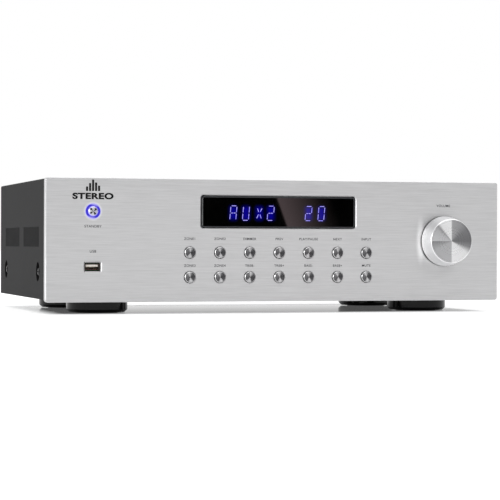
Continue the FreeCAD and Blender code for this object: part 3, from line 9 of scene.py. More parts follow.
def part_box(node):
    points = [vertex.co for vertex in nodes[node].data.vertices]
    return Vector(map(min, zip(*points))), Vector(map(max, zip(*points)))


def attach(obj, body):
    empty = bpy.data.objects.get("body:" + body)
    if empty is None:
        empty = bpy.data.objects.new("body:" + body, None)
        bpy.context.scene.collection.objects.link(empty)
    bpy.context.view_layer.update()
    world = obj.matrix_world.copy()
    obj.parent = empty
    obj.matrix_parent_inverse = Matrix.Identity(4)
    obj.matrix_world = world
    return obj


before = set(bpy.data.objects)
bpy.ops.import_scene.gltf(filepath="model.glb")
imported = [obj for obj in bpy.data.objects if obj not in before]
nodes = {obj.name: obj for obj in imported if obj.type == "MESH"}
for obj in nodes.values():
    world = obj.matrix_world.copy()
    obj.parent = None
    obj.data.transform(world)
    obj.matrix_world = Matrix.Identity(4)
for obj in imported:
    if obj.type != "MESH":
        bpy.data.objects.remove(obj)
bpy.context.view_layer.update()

mm = 0.001
mainBody = "receiver"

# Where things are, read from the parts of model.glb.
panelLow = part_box("front_panel")[0]
frontY = panelLow.y
panelZ = panelLow.z
coverLow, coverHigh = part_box("top_cover")
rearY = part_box("rear_panel")[1].y
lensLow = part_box("display_lens")[0]


def middle(node):
    low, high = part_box(node)
    return (low + high) / 2


def linear(hexColour, alpha=1.0):
    # sRGB hex to the linear values that the shaders take
    parts = [int(hexColour[i:i + 2], 16) / 255 for i in (1, 3, 5)]
    curve = [c / 12.92 if c <= 0.04045 else ((c + 0.055) / 1.055) ** 2.4 for c in parts]
    return (*curve, alpha)


def addNode(tree, kind, values=None, links=None, **settings):
    node = tree.nodes.new("ShaderNode" + kind)
    for name, value in settings.items():
        setattr(node, name, value)
    for socket, value in (values or {}).items():
        node.inputs[socket].default_value = value
    for socket, source in (links or {}).items():
        tree.links.new(source, node.inputs[socket])
    return node


def newMaterial(name, **sockets):
    # a Principled material; names of sockets are given without spaces
    material = bpy.data.materials.new(name)
    material.use_nodes = True
    tree = material.node_tree
    shader = tree.nodes["Principled BSDF"]
    plain = {socket.name.replace(" ", ""): socket for socket in shader.inputs}
    for key, value in sockets.items():
        plain[key].default_value = value
    return material, tree, shader


def ramp(tree, source, stops, interpolation="LINEAR"):
    node = addNode(tree, "ValToRGB", links={0: source})
    points = node.color_ramp.elements
    node.color_ramp.interpolation = interpolation
    points[0].position, points[0].color = stops[0]
    points[1].position, points[1].color = stops[-1]
    for place, colour in stops[1:-1]:
        points.new(place).color = colour
    return node.outputs[0]


def grain(tree, size, detail=3.0, seed=0.0, coords="Object"):
    # noise whose features have a real size in metres along x, y and z
    place = addNode(tree, "TexCoord").outputs[coords]
    scaled = addNode(tree, "Mapping", {"Scale": [1 / s for s in size],
                                       "Location": (seed, seed * 0.7, seed * 1.3)},
                     {"Vector": place})
    return addNode(tree, "TexNoise", {"Scale": 1.0, "Detail": detail, "Roughness": 0.6},
                   {"Vector": scaled.outputs[0]}).outputs[0]


def spread(tree, source, low, high):
    return addNode(tree, "MapRange", {"From Min": 0.25, "From Max": 0.75, "To Min": low,
                                      "To Max": high}, {"Value": source}).outputs[0]


def bump(tree, shader, source, height, strength=1.0):
    node = addNode(tree, "Bump", {"Strength": strength, "Distance": height},
                   {"Height": source})
    tree.links.new(node.outputs[0], shader.inputs["Normal"])
    return node


def newPiece(name, mesh, material, body=mainBody):
    piece = bpy.data.objects.new(name, mesh)
    bpy.context.scene.collection.objects.link(piece)
    mesh.materials.append(material)
    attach(piece, body)
    return piece


def dress(material, *names):
    # gives CAD nodes their finish
    for name in names:
        node = nodes[name]
        node.data.materials.clear()
        node.data.materials.append(material)


brushedPanel = {
    "light": "#c8c8c9", "dark": "#bcbcbd",
    "roughness": (0.34, 0.40), "anisotropy": 0.7,
    "line": (20 * mm, 20 * mm, 0.5 * mm),    # real lines are finer; drawn as coarse as shows
    "streak": (90 * mm, 20 * mm, 1.6 * mm),
    # halo: painted blue glow of the standby ring on the panel round it
    "haloReach": 9.5 * mm, "haloColour": "#8f86ff", "haloStrength": 0.32,
    # next: a painted patch of light left of the knob, its half width and height, and its strength
    "thrown": (5.5 * mm, 26 * mm), "thrownStrength": 0.3,    # half width and height
}


def brushedAnodisedAluminium():
    # Anodised aluminium, brushed from side to side: fine level lines, soft upright shine, with painted
    # glow from the standby ring and a painted patch of light beside the knob
    spec = brushedPanel
    material, tree, shader = newMaterial("brushedAnodisedAluminium", Metallic=1.0,
                                         Anisotropic=spec["anisotropy"])
    lines = grain(tree, spec["line"], 4.0)
    streaks = grain(tree, spec["streak"], 2.0, 3.0)
    both = addNode(tree, "Mix", {"Factor": 0.3}, {2: lines, 3: streaks}, data_type="FLOAT")
    tone = ramp(tree, both.outputs[0], [(0.36, linear(spec["dark"])),
                                        (0.62, linear(spec["light"]))])
    tree.links.new(tone, shader.inputs["Base Color"])
    tree.links.new(spread(tree, lines, *spec["roughness"]), shader.inputs["Roughness"])
    tangent = addNode(tree, "Tangent", direction_type="RADIAL", axis="X")
    tree.links.new(tangent.outputs[0], shader.inputs["Tangent"])
    bump(tree, shader, lines, 0.02 * mm, 0.25)
    # painted light: blue light from the standby ring spilling over the metal round it, given as glow
    # of the panel itself
    centre = middle("standby_light_ring")
    away = addNode(tree, "VectorMath", {1: tuple(centre)},
                   {0: addNode(tree, "TexCoord").outputs["Object"]}, operation="DISTANCE")
    inner = (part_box("standby_light_ring")[1].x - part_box("standby_light_ring")[0].x) / 2
    glow = addNode(tree, "MapRange", {"From Min": inner - 1.3 * mm,
                                      "From Max": spec["haloReach"], "To Min": 1.0,
                                      "To Max": 0.0},
                   {"Value": away.outputs["Value"]}, interpolation_type="SMOOTHSTEP")
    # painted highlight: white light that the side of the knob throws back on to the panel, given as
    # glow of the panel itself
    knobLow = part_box("volume_knob")[0]
    spot = addNode(tree, "VectorMath", {1: (knobLow.x, frontY, middle("volume_knob").z)},
                   {0: addNode(tree, "TexCoord").outputs["Object"]}, operation="SUBTRACT")
    wide, tall = spec["thrown"]
    shares = addNode(tree, "VectorMath", {1: (1 / wide, 0, 1 / tall)}, {0: spot.outputs[0]},
                     operation="MULTIPLY")
    gap = addNode(tree, "VectorMath", links={0: shares.outputs[0]}, operation="LENGTH")
    thrown = addNode(tree, "MapRange", {"From Min": 0.2, "From Max": 1.0, "To Min": 1.0,
                                        "To Max": 0.0}, {"Value": gap.outputs["Value"]},
                     interpolation_type="SMOOTHSTEP")
    colour = addNode(tree, "Mix", {6: (1, 1, 1, 1), 7: linear(spec["haloColour"])},
                     {0: glow.outputs[0]}, data_type="RGBA")
    tree.links.new(colour.outputs[2], shader.inputs["Emission Color"])
    ringLit = addNode(tree, "Math", {1: spec["haloStrength"]}, {0: glow.outputs[0]},
                      operation="MULTIPLY")
    strength = addNode(tree, "Math", {1: spec["thrownStrength"]},
                       {0: thrown.outputs[0], 2: ringLit.outputs[0]}, operation="MULTIPLY_ADD")
    tree.links.new(strength.outputs[0], shader.inputs["Emission Strength"])
    return material


def turnedAluminium(name, node, spec):
    # Aluminium turned on a lathe: rings round the axis, and a face with painted highlights and shade
    # in wedges about its axis, which turn with the part
    material, tree, shader = newMaterial(name, Metallic=1.0, Anisotropic=spec["anisotropy"])
    place = addNode(tree, "TexCoord").outputs["Object"]
    shifted = addNode(tree, "VectorMath", {1: tuple(middle(node))}, {0: place},
                      operation="SUBTRACT")
    parts = addNode(tree, "SeparateXYZ", links={0: shifted.outputs[0]})
    x, z = parts.outputs[0], parts.outputs[2]
    angle = addNode(tree, "Math", links={0: z, 1: x}, operation="ARCTAN2").outputs[0]
    turn = addNode(tree, "MapRange", {"From Min": -math.pi, "From Max": math.pi}, {"Value": angle})
    shiftedTurn = addNode(tree, "Math", {1: spec["phase"]}, {0: turn.outputs[0]},
                          operation="ADD")
    wrapped = addNode(tree, "Math", links={0: shiftedTurn.outputs[0]}, operation="FRACT")
    # painted highlights and shade: the face's tone set by the angle round the axis
    wedges = ramp(tree, wrapped.outputs[0],
                  [(place, linear(colour)) for place, colour in spec["wedges"]])
    flat = addNode(tree, "SeparateXYZ",
                   links={0: addNode(tree, "NewGeometry").outputs["Normal"]})
    facing = addNode(tree, "MapRange", {"From Min": -0.75, "From Max": -0.97},
                     {"Value": flat.outputs[1]})
    half = (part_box(node)[1].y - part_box(node)[0].y) / 2
    # painted shadow: the side darkens in a narrow band next to the panel, where the gap behind the
    # part lies in shade
    skirt = addNode(tree, "MapRange", {"From Min": half - spec["skirt"] - 0.1 * mm,
                                       "From Max": half - spec["skirt"]},
                    {"Value": parts.outputs[1]})
    side = addNode(tree, "Mix", {6: linear(spec["side"]), 7: linear(spec["groove"])},
                   {0: skirt.outputs[0]}, data_type="RGBA")
    base = addNode(tree, "Mix", links={0: facing.outputs[0], 6: side.outputs[2], 7: wedges},
                   data_type="RGBA")
    radius = addNode(tree, "VectorMath", links={0: shifted.outputs[0]}, operation="LENGTH")
    rings = addNode(tree, "TexNoise", {"Scale": 1 / spec["ring"], "Detail": 2.0},
                    {"W": radius.outputs["Value"]}, noise_dimensions="1D")
    toned = addNode(tree, "Mix", {0: spec["ringDepth"]}, {6: base.outputs[2], 7: ramp(
        tree, rings.outputs[0], [(0.35, linear("#8c8c8e")), (0.65, linear("#ffffff"))])},
        data_type="RGBA", blend_type="MULTIPLY")
    tree.links.new(toned.outputs[2], shader.inputs["Base Color"])
    tree.links.new(spread(tree, rings.outputs[0], *spec["roughness"]),
                   shader.inputs["Roughness"])
    outward = addNode(tree, "VectorMath", links={0: shifted.outputs[0]}, operation="NORMALIZE")
    tangent = addNode(tree, "Mix", {5: (0, 0, 1)}, {0: facing.outputs[0], 4: outward.outputs[0]},
                      data_type="VECTOR")
    tree.links.new(tangent.outputs[1], shader.inputs["Tangent"])
    bump(tree, shader, rings.outputs[0], 0.004 * mm, 0.1)
    return material


knobFinish = {
    "side": "#f8f8f9", "anisotropy": 0.6, "roughness": (0.26, 0.32), "ring": 0.9 * mm,
    # painted shadow at the base of the side: its width and colour are the last two values below
    "ringDepth": 0.05, "phase": 0.0, "skirt": 1.1 * mm, "groove": "#2c2c2e",
    # painted highlights and shade round the face: a full turn from nine o'clock, downwards first
    "wedges": [(0.0, "#8c8c8e"), (0.08, "#b4b4b6"), (0.245, "#b7b7b9"), (0.255, "#ececed"),
               (0.40, "#e6e6e7"), (0.45, "#8e8e90"), (0.5, "#747476"), (0.6, "#7e7e80"),
               (0.67, "#9c9c9e"), (0.745, "#a8a8aa"), (0.755, "#f0f0f1"), (0.85, "#e8e8e9"),
               (0.872, "#9a9a9c"), (0.90, "#b8b8ba"), (0.995, "#c6c6c8")],
}

buttonFinish = {
    "side": "#c4c4c5", "anisotropy": 0.5, "roughness": (0.2, 0.3), "ring": 0.6 * mm,
    "ringDepth": 0.1, "skirt": 0.0, "groove": "#2c2c2e",
    "wedges": [(0.0, "#6a6a6c"), (0.12, "#58585a"), (0.19, "#c8c8ca"), (0.27, "#d2d2d3"),
               (0.34, "#58585a"), (0.5, "#464648"), (0.63, "#5c5c5e"), (0.7, "#a8a8aa"),
               (0.77, "#d2d2d3"), (0.84, "#7c7c7e"), (0.99, "#6a6a6c")],
    # how far the painted highlight wedges of each button are turned round, at most
    "turned": 0.06,    # how far each button may have turned, as a share of a turn
}

# the lilac of the side and the blue tint of the pale wedges are painted reflection of the lit ring
standbyFinish = {
    "side": "#c9c6f4", "anisotropy": 0.4, "roughness": (0.2, 0.3), "ring": 0.6 * mm,
    "ringDepth": 0.1, "skirt": 0.0, "groove": "#2c2c2e",
    "wedges": [(0.0, "#f0f0f6"), (0.07, "#ececf4"), (0.10, "#38383a"), (0.16, "#454547"),
               (0.20, "#e8e8f2"), (0.31, "#dcdcea"), (0.34, "#303032"), (0.41, "#3e3e40"),
               (0.45, "#d6d6e4"), (0.57, "#d0d0e0"), (0.60, "#38383a"), (0.67, "#454547"),
               (0.71, "#ececf4"), (0.84, "#f4f4fa"), (0.87, "#303032"), (0.94, "#3e3e40"),
               (0.98, "#f0f0f6")],
}


def platedMetal(spec):
    # Plated or bare metal: even tone with faint handling marks
    material, tree, shader = newMaterial(spec["name"], Metallic=1.0)
    marks = grain(tree, [spec["mark"]] * 3, 4.0)
    tree.links.new(ramp(tree, marks, [(0.3, linear(spec["dark"])), (0.7, linear(spec["light"]))]),
                   shader.inputs["Base Color"])
    tree.links.new(spread(tree, marks, *spec["roughness"]), shader.inputs["Roughness"])
    return material


platings = {
    "nickel": {"name": "platedNickelBrass", "light": "#d9d3c6", "dark": "#b3ab9b",
               "mark": 1.5 * mm, "roughness": (0.15, 0.3)},
    "tin": {"name": "foldedTinPlateSteel", "light": "#6e6660", "dark": "#443e39",
            "mark": 1.2 * mm, "roughness": (0.22, 0.36)},
    "bronze": {"name": "pressedBronzeSpring", "light": "#b08a6a", "dark": "#85634a",
               "mark": 0.8 * mm, "roughness": (0.2, 0.35)},
    "zinc": {"name": "platedZincScrewSteel", "light": "#c9cbcd", "dark": "#9da0a3",
             "mark": 1.0 * mm, "roughness": (0.25, 0.4)},
    "blackZinc": {"name": "blackenedZincScrewSteel", "light": "#141415", "dark": "#0b0b0c",
                  "mark": 0.8 * mm, "roughness": (0.3, 0.45)},
    "sink": {"name": "extrudedBlackAnodisedAluminium", "light": "#39393c", "dark": "#28282a",
             "mark": 2.0 * mm, "roughness": (0.4, 0.55)},
    "lamination": {"name": "varnishedCoreSteel", "light": "#58595e", "dark": "#3c3d42",
                   "mark": 0.6 * mm, "roughness": (0.35, 0.55)},
    "gold": {"name": "platedGoldContacts", "light": "#e6c27a", "dark": "#c89c4e",
             "mark": 0.8 * mm, "roughness": (0.15, 0.25)},
}

galvanised = {"spangle": 7 * mm, "light": "#c6c9cb", "dark": "#a3a7aa"}


def galvanisedSteel():
    # Hot dipped sheet steel: grey crystals of zinc, each with its own shine
    material, tree, shader = newMaterial("galvanisedSheetSteel", Metallic=1.0)
    cells = addNode(tree, "TexVoronoi", {"Scale": 1 / galvanised["spangle"]},
                    {"Vector": addNode(tree, "TexCoord").outputs["Object"]})
    shade = addNode(tree, "SeparateColor", links={0: cells.outputs["Color"]}).outputs[0]
    tree.links.new(ramp(tree, shade, [(0.0, linear(galvanised["dark"])),
                                      (1.0, linear(galvanised["light"]))]),
                   shader.inputs["Base Color"])
    tree.links.new(addNode(tree, "MapRange", {"To Min": 0.32, "To Max": 0.5},
                           {"Value": shade}).outputs[0], shader.inputs["Roughness"])
    return material


coverCoat = {"colour": "#141415", "fleck": "#1d1d1e", "grainSize": 0.7 * mm,
             "roughness": (0.62, 0.72),
             "dimpleTop": 40 * mm, "dimpleReach": 4 * mm, "dimpleShade": 0.12}


def powderCoatedSteel():
    # Sheet steel with a baked powder coat: matt black with a fine orange peel
    material, tree, shader = newMaterial("powderCoatedSheetSteel")
    shader.inputs["Specular IOR Level"].default_value = 0.1
    peel = grain(tree, [coverCoat["grainSize"]] * 3, 2.0)
    patches = grain(tree, [60 * mm] * 3, 2.0, 5.0)
    tone = addNode(tree, "Mix", {0: 0.3}, {2: peel, 3: patches}, data_type="FLOAT")
    coat = ramp(tree, tone.outputs[0], [(0.3, linear(coverCoat["colour"])),
                                        (0.7, linear(coverCoat["fleck"]))])
    # darker down in the round dimples of the two sides, where little light comes in
    parts = addNode(tree, "SeparateXYZ",
                    links={0: addNode(tree, "TexCoord").outputs["Object"]})
    across = addNode(tree, "Math", links={0: parts.outputs[0]}, operation="ABSOLUTE")
    depth = addNode(tree, "MapRange", {"From Min": coverHigh.x,
                                       "From Max": coverHigh.x - coverCoat["dimpleReach"]},
                    {"Value": across.outputs[0]})
    bright, dark = (1, 1, 1, 1), (coverCoat["dimpleShade"],) * 3 + (1,)
    sunk = ramp(tree, depth.outputs[0], [(0.08, bright), (0.45, dark), (0.85, dark),
                                         (0.9, bright)])
    high = addNode(tree, "Math", {1: coverLow.z + coverCoat["dimpleTop"]},
                   {0: parts.outputs[2]}, operation="GREATER_THAN")
    shade = addNode(tree, "Math", links={0: sunk, 1: high.outputs[0]}, operation="MAXIMUM")
    shaded = addNode(tree, "Mix", {0: 1.0}, {6: coat, 7: shade.outputs[0]}, data_type="RGBA",
                     blend_type="MULTIPLY")
    tree.links.new(shaded.outputs[2], shader.inputs["Base Color"])
    tree.links.new(spread(tree, peel, *coverCoat["roughness"]), shader.inputs["Roughness"])
    bump(tree, shader, peel, 0.06 * mm, 0.35)
    return material


def mouldedPlastic(spec):
    # Moulded plastic: even colour, with the mould's fine grain or polish
    material, tree, shader = newMaterial(spec["name"])
    shader.inputs["Specular IOR Level"].default_value = spec.get("specular", 0.5)
    fine = grain(tree, [spec["grainSize"]] * 3, 2.0)
    tree.links.new(ramp(tree, fine, [(0.3, linear(spec["dark"])), (0.7, linear(spec["light"]))]),
                   shader.inputs["Base Color"])
    tree.links.new(spread(tree, fine, *spec["roughness"]), shader.inputs["Roughness"])
    bump(tree, shader, fine, spec["depth"], 0.4)
    return material


plastics = {
    "foot": {"name": "polishedBlackAbs", "light": "#080809", "dark": "#050506",
             "grainSize": 1.5 * mm, "depth": 0.002 * mm, "roughness": (0.05, 0.08),
             "specular": 0.15},
    "bezel": {"name": "satinBlackAbs", "light": "#2e2f32", "dark": "#252628",
              "grainSize": 0.5 * mm, "depth": 0.006 * mm, "roughness": (0.18, 0.24)},
    "nylon": {"name": "mouldedBlackNylon", "light": "#1b1b1c", "dark": "#121213",
              "grainSize": 0.6 * mm, "depth": 0.02 * mm, "roughness": (0.4, 0.55)},
    "rocker": {"name": "polishedBlackNylon", "light": "#141415", "dark": "#0d0d0e",
               "grainSize": 1.0 * mm, "depth": 0.004 * mm, "roughness": (0.18, 0.26)},
    "red": {"name": "mouldedRedPolycarbonate", "light": "#b01416", "dark": "#8e0d10",
            "grainSize": 1.0 * mm, "depth": 0.006 * mm, "roughness": (0.2, 0.3)},
    "black": {"name": "mouldedBlackPolycarbonate", "light": "#171718", "dark": "#0e0e0f",
              "grainSize": 1.0 * mm, "depth": 0.006 * mm, "roughness": (0.2, 0.3)},
    "rubber": {"name": "mouldedRubber", "light": "#1d1d1d", "dark": "#131313",
               "grainSize": 0.8 * mm, "depth": 0.05 * mm, "roughness": (0.75, 0.9)},
    "tongue": {"name": "mouldedWhiteLcp", "light": "#f4efe9", "dark": "#e2dbd2",
               "grainSize": 0.6 * mm, "depth": 0.01 * mm, "roughness": (0.35, 0.45)},
    "epoxy": {"name": "mouldedChipEpoxy", "light": "#232325", "dark": "#18181a",
              "grainSize": 0.3 * mm, "depth": 0.02 * mm, "roughness": (0.55, 0.7)},
    "sleeve": {"name": "shrunkPvcSleeve", "light": "#1c2233", "dark": "#131827",
               "grainSize": 3 * mm, "depth": 0.02 * mm, "roughness": (0.25, 0.35)},
    "tape": {"name": "wrappedPolyesterTape", "light": "#d9a928", "dark": "#b98714",
             "grainSize": 4 * mm, "depth": 0.05 * mm, "roughness": (0.2, 0.32)},
    "switch": {"name": "mouldedBlackPbt", "light": "#202021", "dark": "#161617",
               "grainSize": 0.4 * mm, "depth": 0.01 * mm, "roughness": (0.4, 0.5)},
}


def insulatorPlastic():
    # Moulded insulators, white in the upper row of sockets and red in the lower row
    material, tree, shader = newMaterial("mouldedWhiteAndRedAbs", Roughness=0.28)
    height = addNode(tree, "SeparateXYZ",
                     links={0: addNode(tree, "TexCoord").outputs["Object"]}).outputs[2]
    upper = addNode(tree, "Math", {1: middle("rca_insulators").z}, {0: height},
                    operation="GREATER_THAN")
    fine = grain(tree, [0.8 * mm] * 3, 2.0)
    white = ramp(tree, fine, [(0.3, linear("#dcdad2")), (0.7, linear("#ebe9e2"))])
    red = ramp(tree, fine, [(0.3, linear("#9c1214")), (0.7, linear("#b4181a"))])
    colour = addNode(tree, "Mix", links={0: upper.outputs[0], 6: red, 7: white},
                     data_type="RGBA")
    tree.links.new(colour.outputs[2], shader.inputs["Base Color"])
    return material


def epoxyGlassBoard():
    # Glass fibre board under green solder mask: tracks show as paler, raised lines
    material, tree, shader = newMaterial("solderMaskedEpoxyGlass", Roughness=0.32)
    place = addNode(tree, "TexCoord").outputs["Object"]
    tracks = addNode(tree, "TexBrick", {"Scale": 1 / (9 * mm), "Mortar Size": 0.03,
                                        "Color1": linear("#0f5a34"), "Color2": linear("#0c4d2c"),
                                        "Mortar": linear("#2c8a55")}, {"Vector": place})
    tree.links.new(tracks.outputs["Color"], shader.inputs["Base Color"])
    bump(tree, shader, tracks.outputs["Fac"], 0.03 * mm, 0.5)
    return material


def ribbonPvc():
    # Extruded grey flat cable: parallel cores, one edge marked red
    material, tree, shader = newMaterial("extrudedRibbonPvc", Roughness=0.45)
    place = addNode(tree, "SeparateXYZ",
                    links={0: addNode(tree, "TexCoord").outputs["Object"]}).outputs[0]
    wave = addNode(tree, "Math", {1: 2 * math.pi / (1.27 * mm)}, {0: place},
                   operation="MULTIPLY")
    cores = addNode(tree, "Math", links={0: wave.outputs[0]}, operation="SINE").outputs[0]
    tree.links.new(ramp(tree, cores, [(0.2, linear("#76787b")), (0.6, linear("#a6a8ab"))]),
                   shader.inputs["Base Color"])
    bump(tree, shader, cores, 0.1 * mm, 0.6)
    return material


displayText = {
    "capHeight": 13.0 * mm, "width": 5.7 * mm, "stroke": 0.62 * mm, "slant": 0.09,
    "low": 73.6 * mm, "lift": 0.04 * mm, "core": "#7d74ff", "edge": "#b0a8ff",
    "strength": 1.0,
    # which character stands where: its left edge from the middle of the panel
    "places": [("A", -46.9), ("U", -35.0), ("x", -22.4), ("2", -11.6), ("2", 24.6), ("0", 36.9)],
    "glowReach": 5.6 * mm, "glowColour": "#1206d8", "glowStrength": 0.34,
}

# Strokes of a character as pairs of points, in shares of its width and height.
strokes = {
    "top": ((0.1, 1.0), (0.9, 1.0)), "bottom": ((0.1, 0.0), (0.9, 0.0)),
    "upperLeft": ((0.0, 0.94), (0.0, 0.54)), "lowerLeft": ((0.0, 0.46), (0.0, 0.06)),
    "upperRight": ((1.0, 0.94), (1.0, 0.54)), "lowerRight": ((1.0, 0.46), (1.0, 0.06)),
    "middleLeft": ((0.1, 0.5), (0.48, 0.5)), "middleRight": ((0.52, 0.5), (0.9, 0.5)),
    "crossA": ((0.12, 0.84), (0.38, 0.58)), "crossB": ((0.88, 0.84), (0.62, 0.58)),
    "crossC": ((0.12, 0.14), (0.38, 0.42)), "crossD": ((0.88, 0.14), (0.62, 0.42)),
}
box = ("top", "bottom", "upperLeft", "lowerLeft", "upperRight", "lowerRight")
characters = {
    "A": ("top", "upperLeft", "lowerLeft", "upperRight", "lowerRight", "middleLeft",
          "middleRight"),
    "U": box[1:], "0": box, "x": ("crossA", "crossB", "crossC", "crossD"),
    "2": ("top", "bottom", "upperRight", "lowerLeft", "middleLeft", "middleRight"),
}


def characterMesh(sign, left):
    # each stroke is a bar with pointed ends, leaning a little to the right
    spec = displayText
    mesh = bmesh.new()
    half = spec["stroke"] / 2
    y = lensLow.y - spec["lift"]
    for word in characters[sign]:
        ends = []
        for across, up in strokes[word]:
            rise = up * spec["capHeight"]
            ends.append(Vector((left + across * spec["width"] + rise * spec["slant"], 0,
                                panelZ + spec["low"] + rise)))
        start, end = ends
        along = (end - start).normalized()
        side = Vector((-along.z, 0, along.x)) * half
        outline = [start, start + along * half - side, end - along * half - side, end,
                   end - along * half + side, start + along * half + side]
        face = mesh.faces.new([mesh.verts.new((p.x, y, p.z)) for p in outline])
        if face.normal.y > 0:
            face.normal_flip()
        face.normal_update()
    thick = bmesh.ops.extrude_face_region(mesh, geom=mesh.faces[:])
    moved = [item for item in thick["geom"] if isinstance(item, bmesh.types.BMVert)]
    bmesh.ops.translate(mesh, verts=moved, vec=(0, spec["lift"] * 0.9, 0))
    bmesh.ops.recalc_face_normals(mesh, faces=mesh.faces[:])
    data = bpy.data.meshes.new("display_character")
    mesh.to_mesh(data)
    mesh.free()
    return data


def litSegment():
    # Lit display segments: pale violet blue, brighter than anything round them
    material, tree, shader = newMaterial("litDisplaySegment", Roughness=0.4)
    fine = grain(tree, [1.6 * mm] * 3, 1.0)
    colour = ramp(tree, fine, [(0.3, linear(displayText["core"])),
                               (0.6, linear(displayText["edge"]))])
    tree.links.new(colour, shader.inputs["Emission Color"])
    shader.inputs["Base Color"].default_value = linear("#201c50")
    shader.inputs["Emission Strength"].default_value = displayText["strength"]
    return material


def smokedAcrylic():
    # Polished smoked acrylic: deep black, mirror smooth, with painted blue glow round the characters
    spec = displayText
    material, tree, shader = newMaterial("polishedSmokedAcrylic", Roughness=0.02)
    haze = grain(tree, [25 * mm] * 3, 2.0)
    tree.links.new(ramp(tree, haze, [(0.3, linear("#010101")), (0.7, linear("#030303"))]),
                   shader.inputs["Base Color"])
    parts = addNode(tree, "SeparateXYZ",
                    links={0: addNode(tree, "TexCoord").outputs["Object"]})
    lean = spec["slant"] * spec["capHeight"] / 2
    # painted glow: blue light round each character, strongest inside it and fading outwards
    total = None
    for sign, left in spec["places"]:
        gaps = []
        for source, centre, half in (
                (parts.outputs[0], left * mm + spec["width"] / 2 + lean, spec["width"] * 0.2),
                (parts.outputs[2], panelZ + spec["low"] + spec["capHeight"] / 2,
                 spec["capHeight"] * 0.3)):
            gap = addNode(tree, "Math", {1: centre}, {0: source}, operation="SUBTRACT")
            size = addNode(tree, "Math", links={0: gap.outputs[0]}, operation="ABSOLUTE")
            over = addNode(tree, "Math", {1: half}, {0: size.outputs[0]}, operation="SUBTRACT")
            gaps.append(addNode(tree, "Math", {1: 0.0}, {0: over.outputs[0]},
                                operation="MAXIMUM").outputs[0])
        flat = addNode(tree, "CombineXYZ", links={0: gaps[0], 1: gaps[1]})
        away = addNode(tree, "VectorMath", links={0: flat.outputs[0]}, operation="LENGTH")
        near = addNode(tree, "MapRange", {"From Min": 0.0, "From Max": spec["glowReach"],
                                          "To Min": 1.0, "To Max": 0.0},
                       {"Value": away.outputs["Value"]})
        glow = addNode(tree, "Math", {1: 2.4}, {0: near.outputs[0]}, operation="POWER")
        if total is None:
            total = glow.outputs[0]
        else:
            total = addNode(tree, "Math", links={0: total, 1: glow.outputs[0]},
                            operation="MAXIMUM").outputs[0]
    strength = addNode(tree, "Math", {1: spec["glowStrength"]}, {0: total},
                       operation="MULTIPLY")
    shader.inputs["Emission Color"].default_value = linear(spec["glowColour"])
    tree.links.new(strength.outputs[0], shader.inputs["Emission Strength"])
    return material


def makeDisplay():
    dress(smokedAcrylic(), "display_lens")
    dress(mouldedPlastic(plastics["bezel"]), "display_bezel")
    lit = litSegment()
    for number, (sign, left) in enumerate(displayText["places"], start=1):
        newPiece("display_character_%d" % number, characterMesh(sign, left * mm), lit)
    print("display made")


ringLight = {"deep": "#1a0cc4", "rim": "#8c84ff", "lamp": "#bcb6ff", "strength": 0.85}


def litDiffuser():
    # Frosted polycarbonate lit from behind: deep blue, paler towards both rims
    material, tree, shader = newMaterial("litFrostedPolycarbonate", Roughness=0.35)
    centre = middle("standby_light_ring")
    parts = addNode(tree, "VectorMath", {1: tuple(centre)},
                    {0: addNode(tree, "TexCoord").outputs["Object"]}, operation="SUBTRACT")
    split = addNode(tree, "SeparateXYZ", links={0: parts.outputs[0]})
    flat = addNode(tree, "CombineXYZ", links={0: split.outputs[0], 1: split.outputs[2]})
    radius = addNode(tree, "VectorMath", links={0: flat.outputs[0]}, operation="LENGTH")
    share = addNode(tree, "MapRange", {"From Min": 4.3 * mm, "From Max": 6.8 * mm},
                    {"Value": radius.outputs["Value"]})
    colour = ramp(tree, share.outputs[0], [(0.0, linear(ringLight["rim"])),
                                           (0.3, linear(ringLight["deep"])),
                                           (0.75, linear(ringLight["deep"])),
                                           (1.0, linear(ringLight["rim"]))])
    # paler at the top and the bottom, where the two lamps sit
    rise = addNode(tree, "Math", {1: 0.25}, {0: split.outputs[0], 2: split.outputs[2]},
                   operation="MULTIPLY_ADD")
    lamp = addNode(tree, "MapRange", {"From Min": 4.4 * mm, "From Max": 7.0 * mm},
                   {"Value": addNode(tree, "Math", links={0: rise.outputs[0]},
                                     operation="ABSOLUTE").outputs[0]},
                   interpolation_type="SMOOTHSTEP")
    both = addNode(tree, "Mix", {7: linear(ringLight["lamp"])}, {0: lamp.outputs[0], 6: colour},
                   data_type="RGBA")
    tree.links.new(both.outputs[2], shader.inputs["Emission Color"])
    shader.inputs["Base Color"].default_value = linear("#140c50")
    shader.inputs["Emission Strength"].default_value = ringLight["strength"]
    return material


labelInk = {"colour": "#1e1f22", "capHeight": 2.1 * mm, "stretch": 1.06, "weight": 0.045,
            "lift": 0.03 * mm}
frontLabels = {
    "upper": ["ZONE1", "ZONE2", "DIMMER", "PREV", "PLAY/PAUSE", "NEXT", "INPUT"],
    "lower": ["ZONE3", "ZONE4", "TREB-", "TREB+", "BASS-", "BASS+", "MUTE"],
    "upperHeight": 56.6 * mm, "lowerHeight": 32.4 * mm,
}


def printedInk(name, hexColour):
    # Screen printed ink: flat, slightly thin in places
    material, tree, shader = newMaterial(name, Roughness=0.6, SpecularIORLevel=0.15)
    thin = grain(tree, [0.5 * mm] * 3, 2.0)
    pale = tuple(c * 1.5 for c in linear(hexColour)[:3]) + (1.0,)
    tree.links.new(ramp(tree, thin, [(0.45, linear(hexColour)), (0.8, pale)]),
                   shader.inputs["Base Color"])
    return material


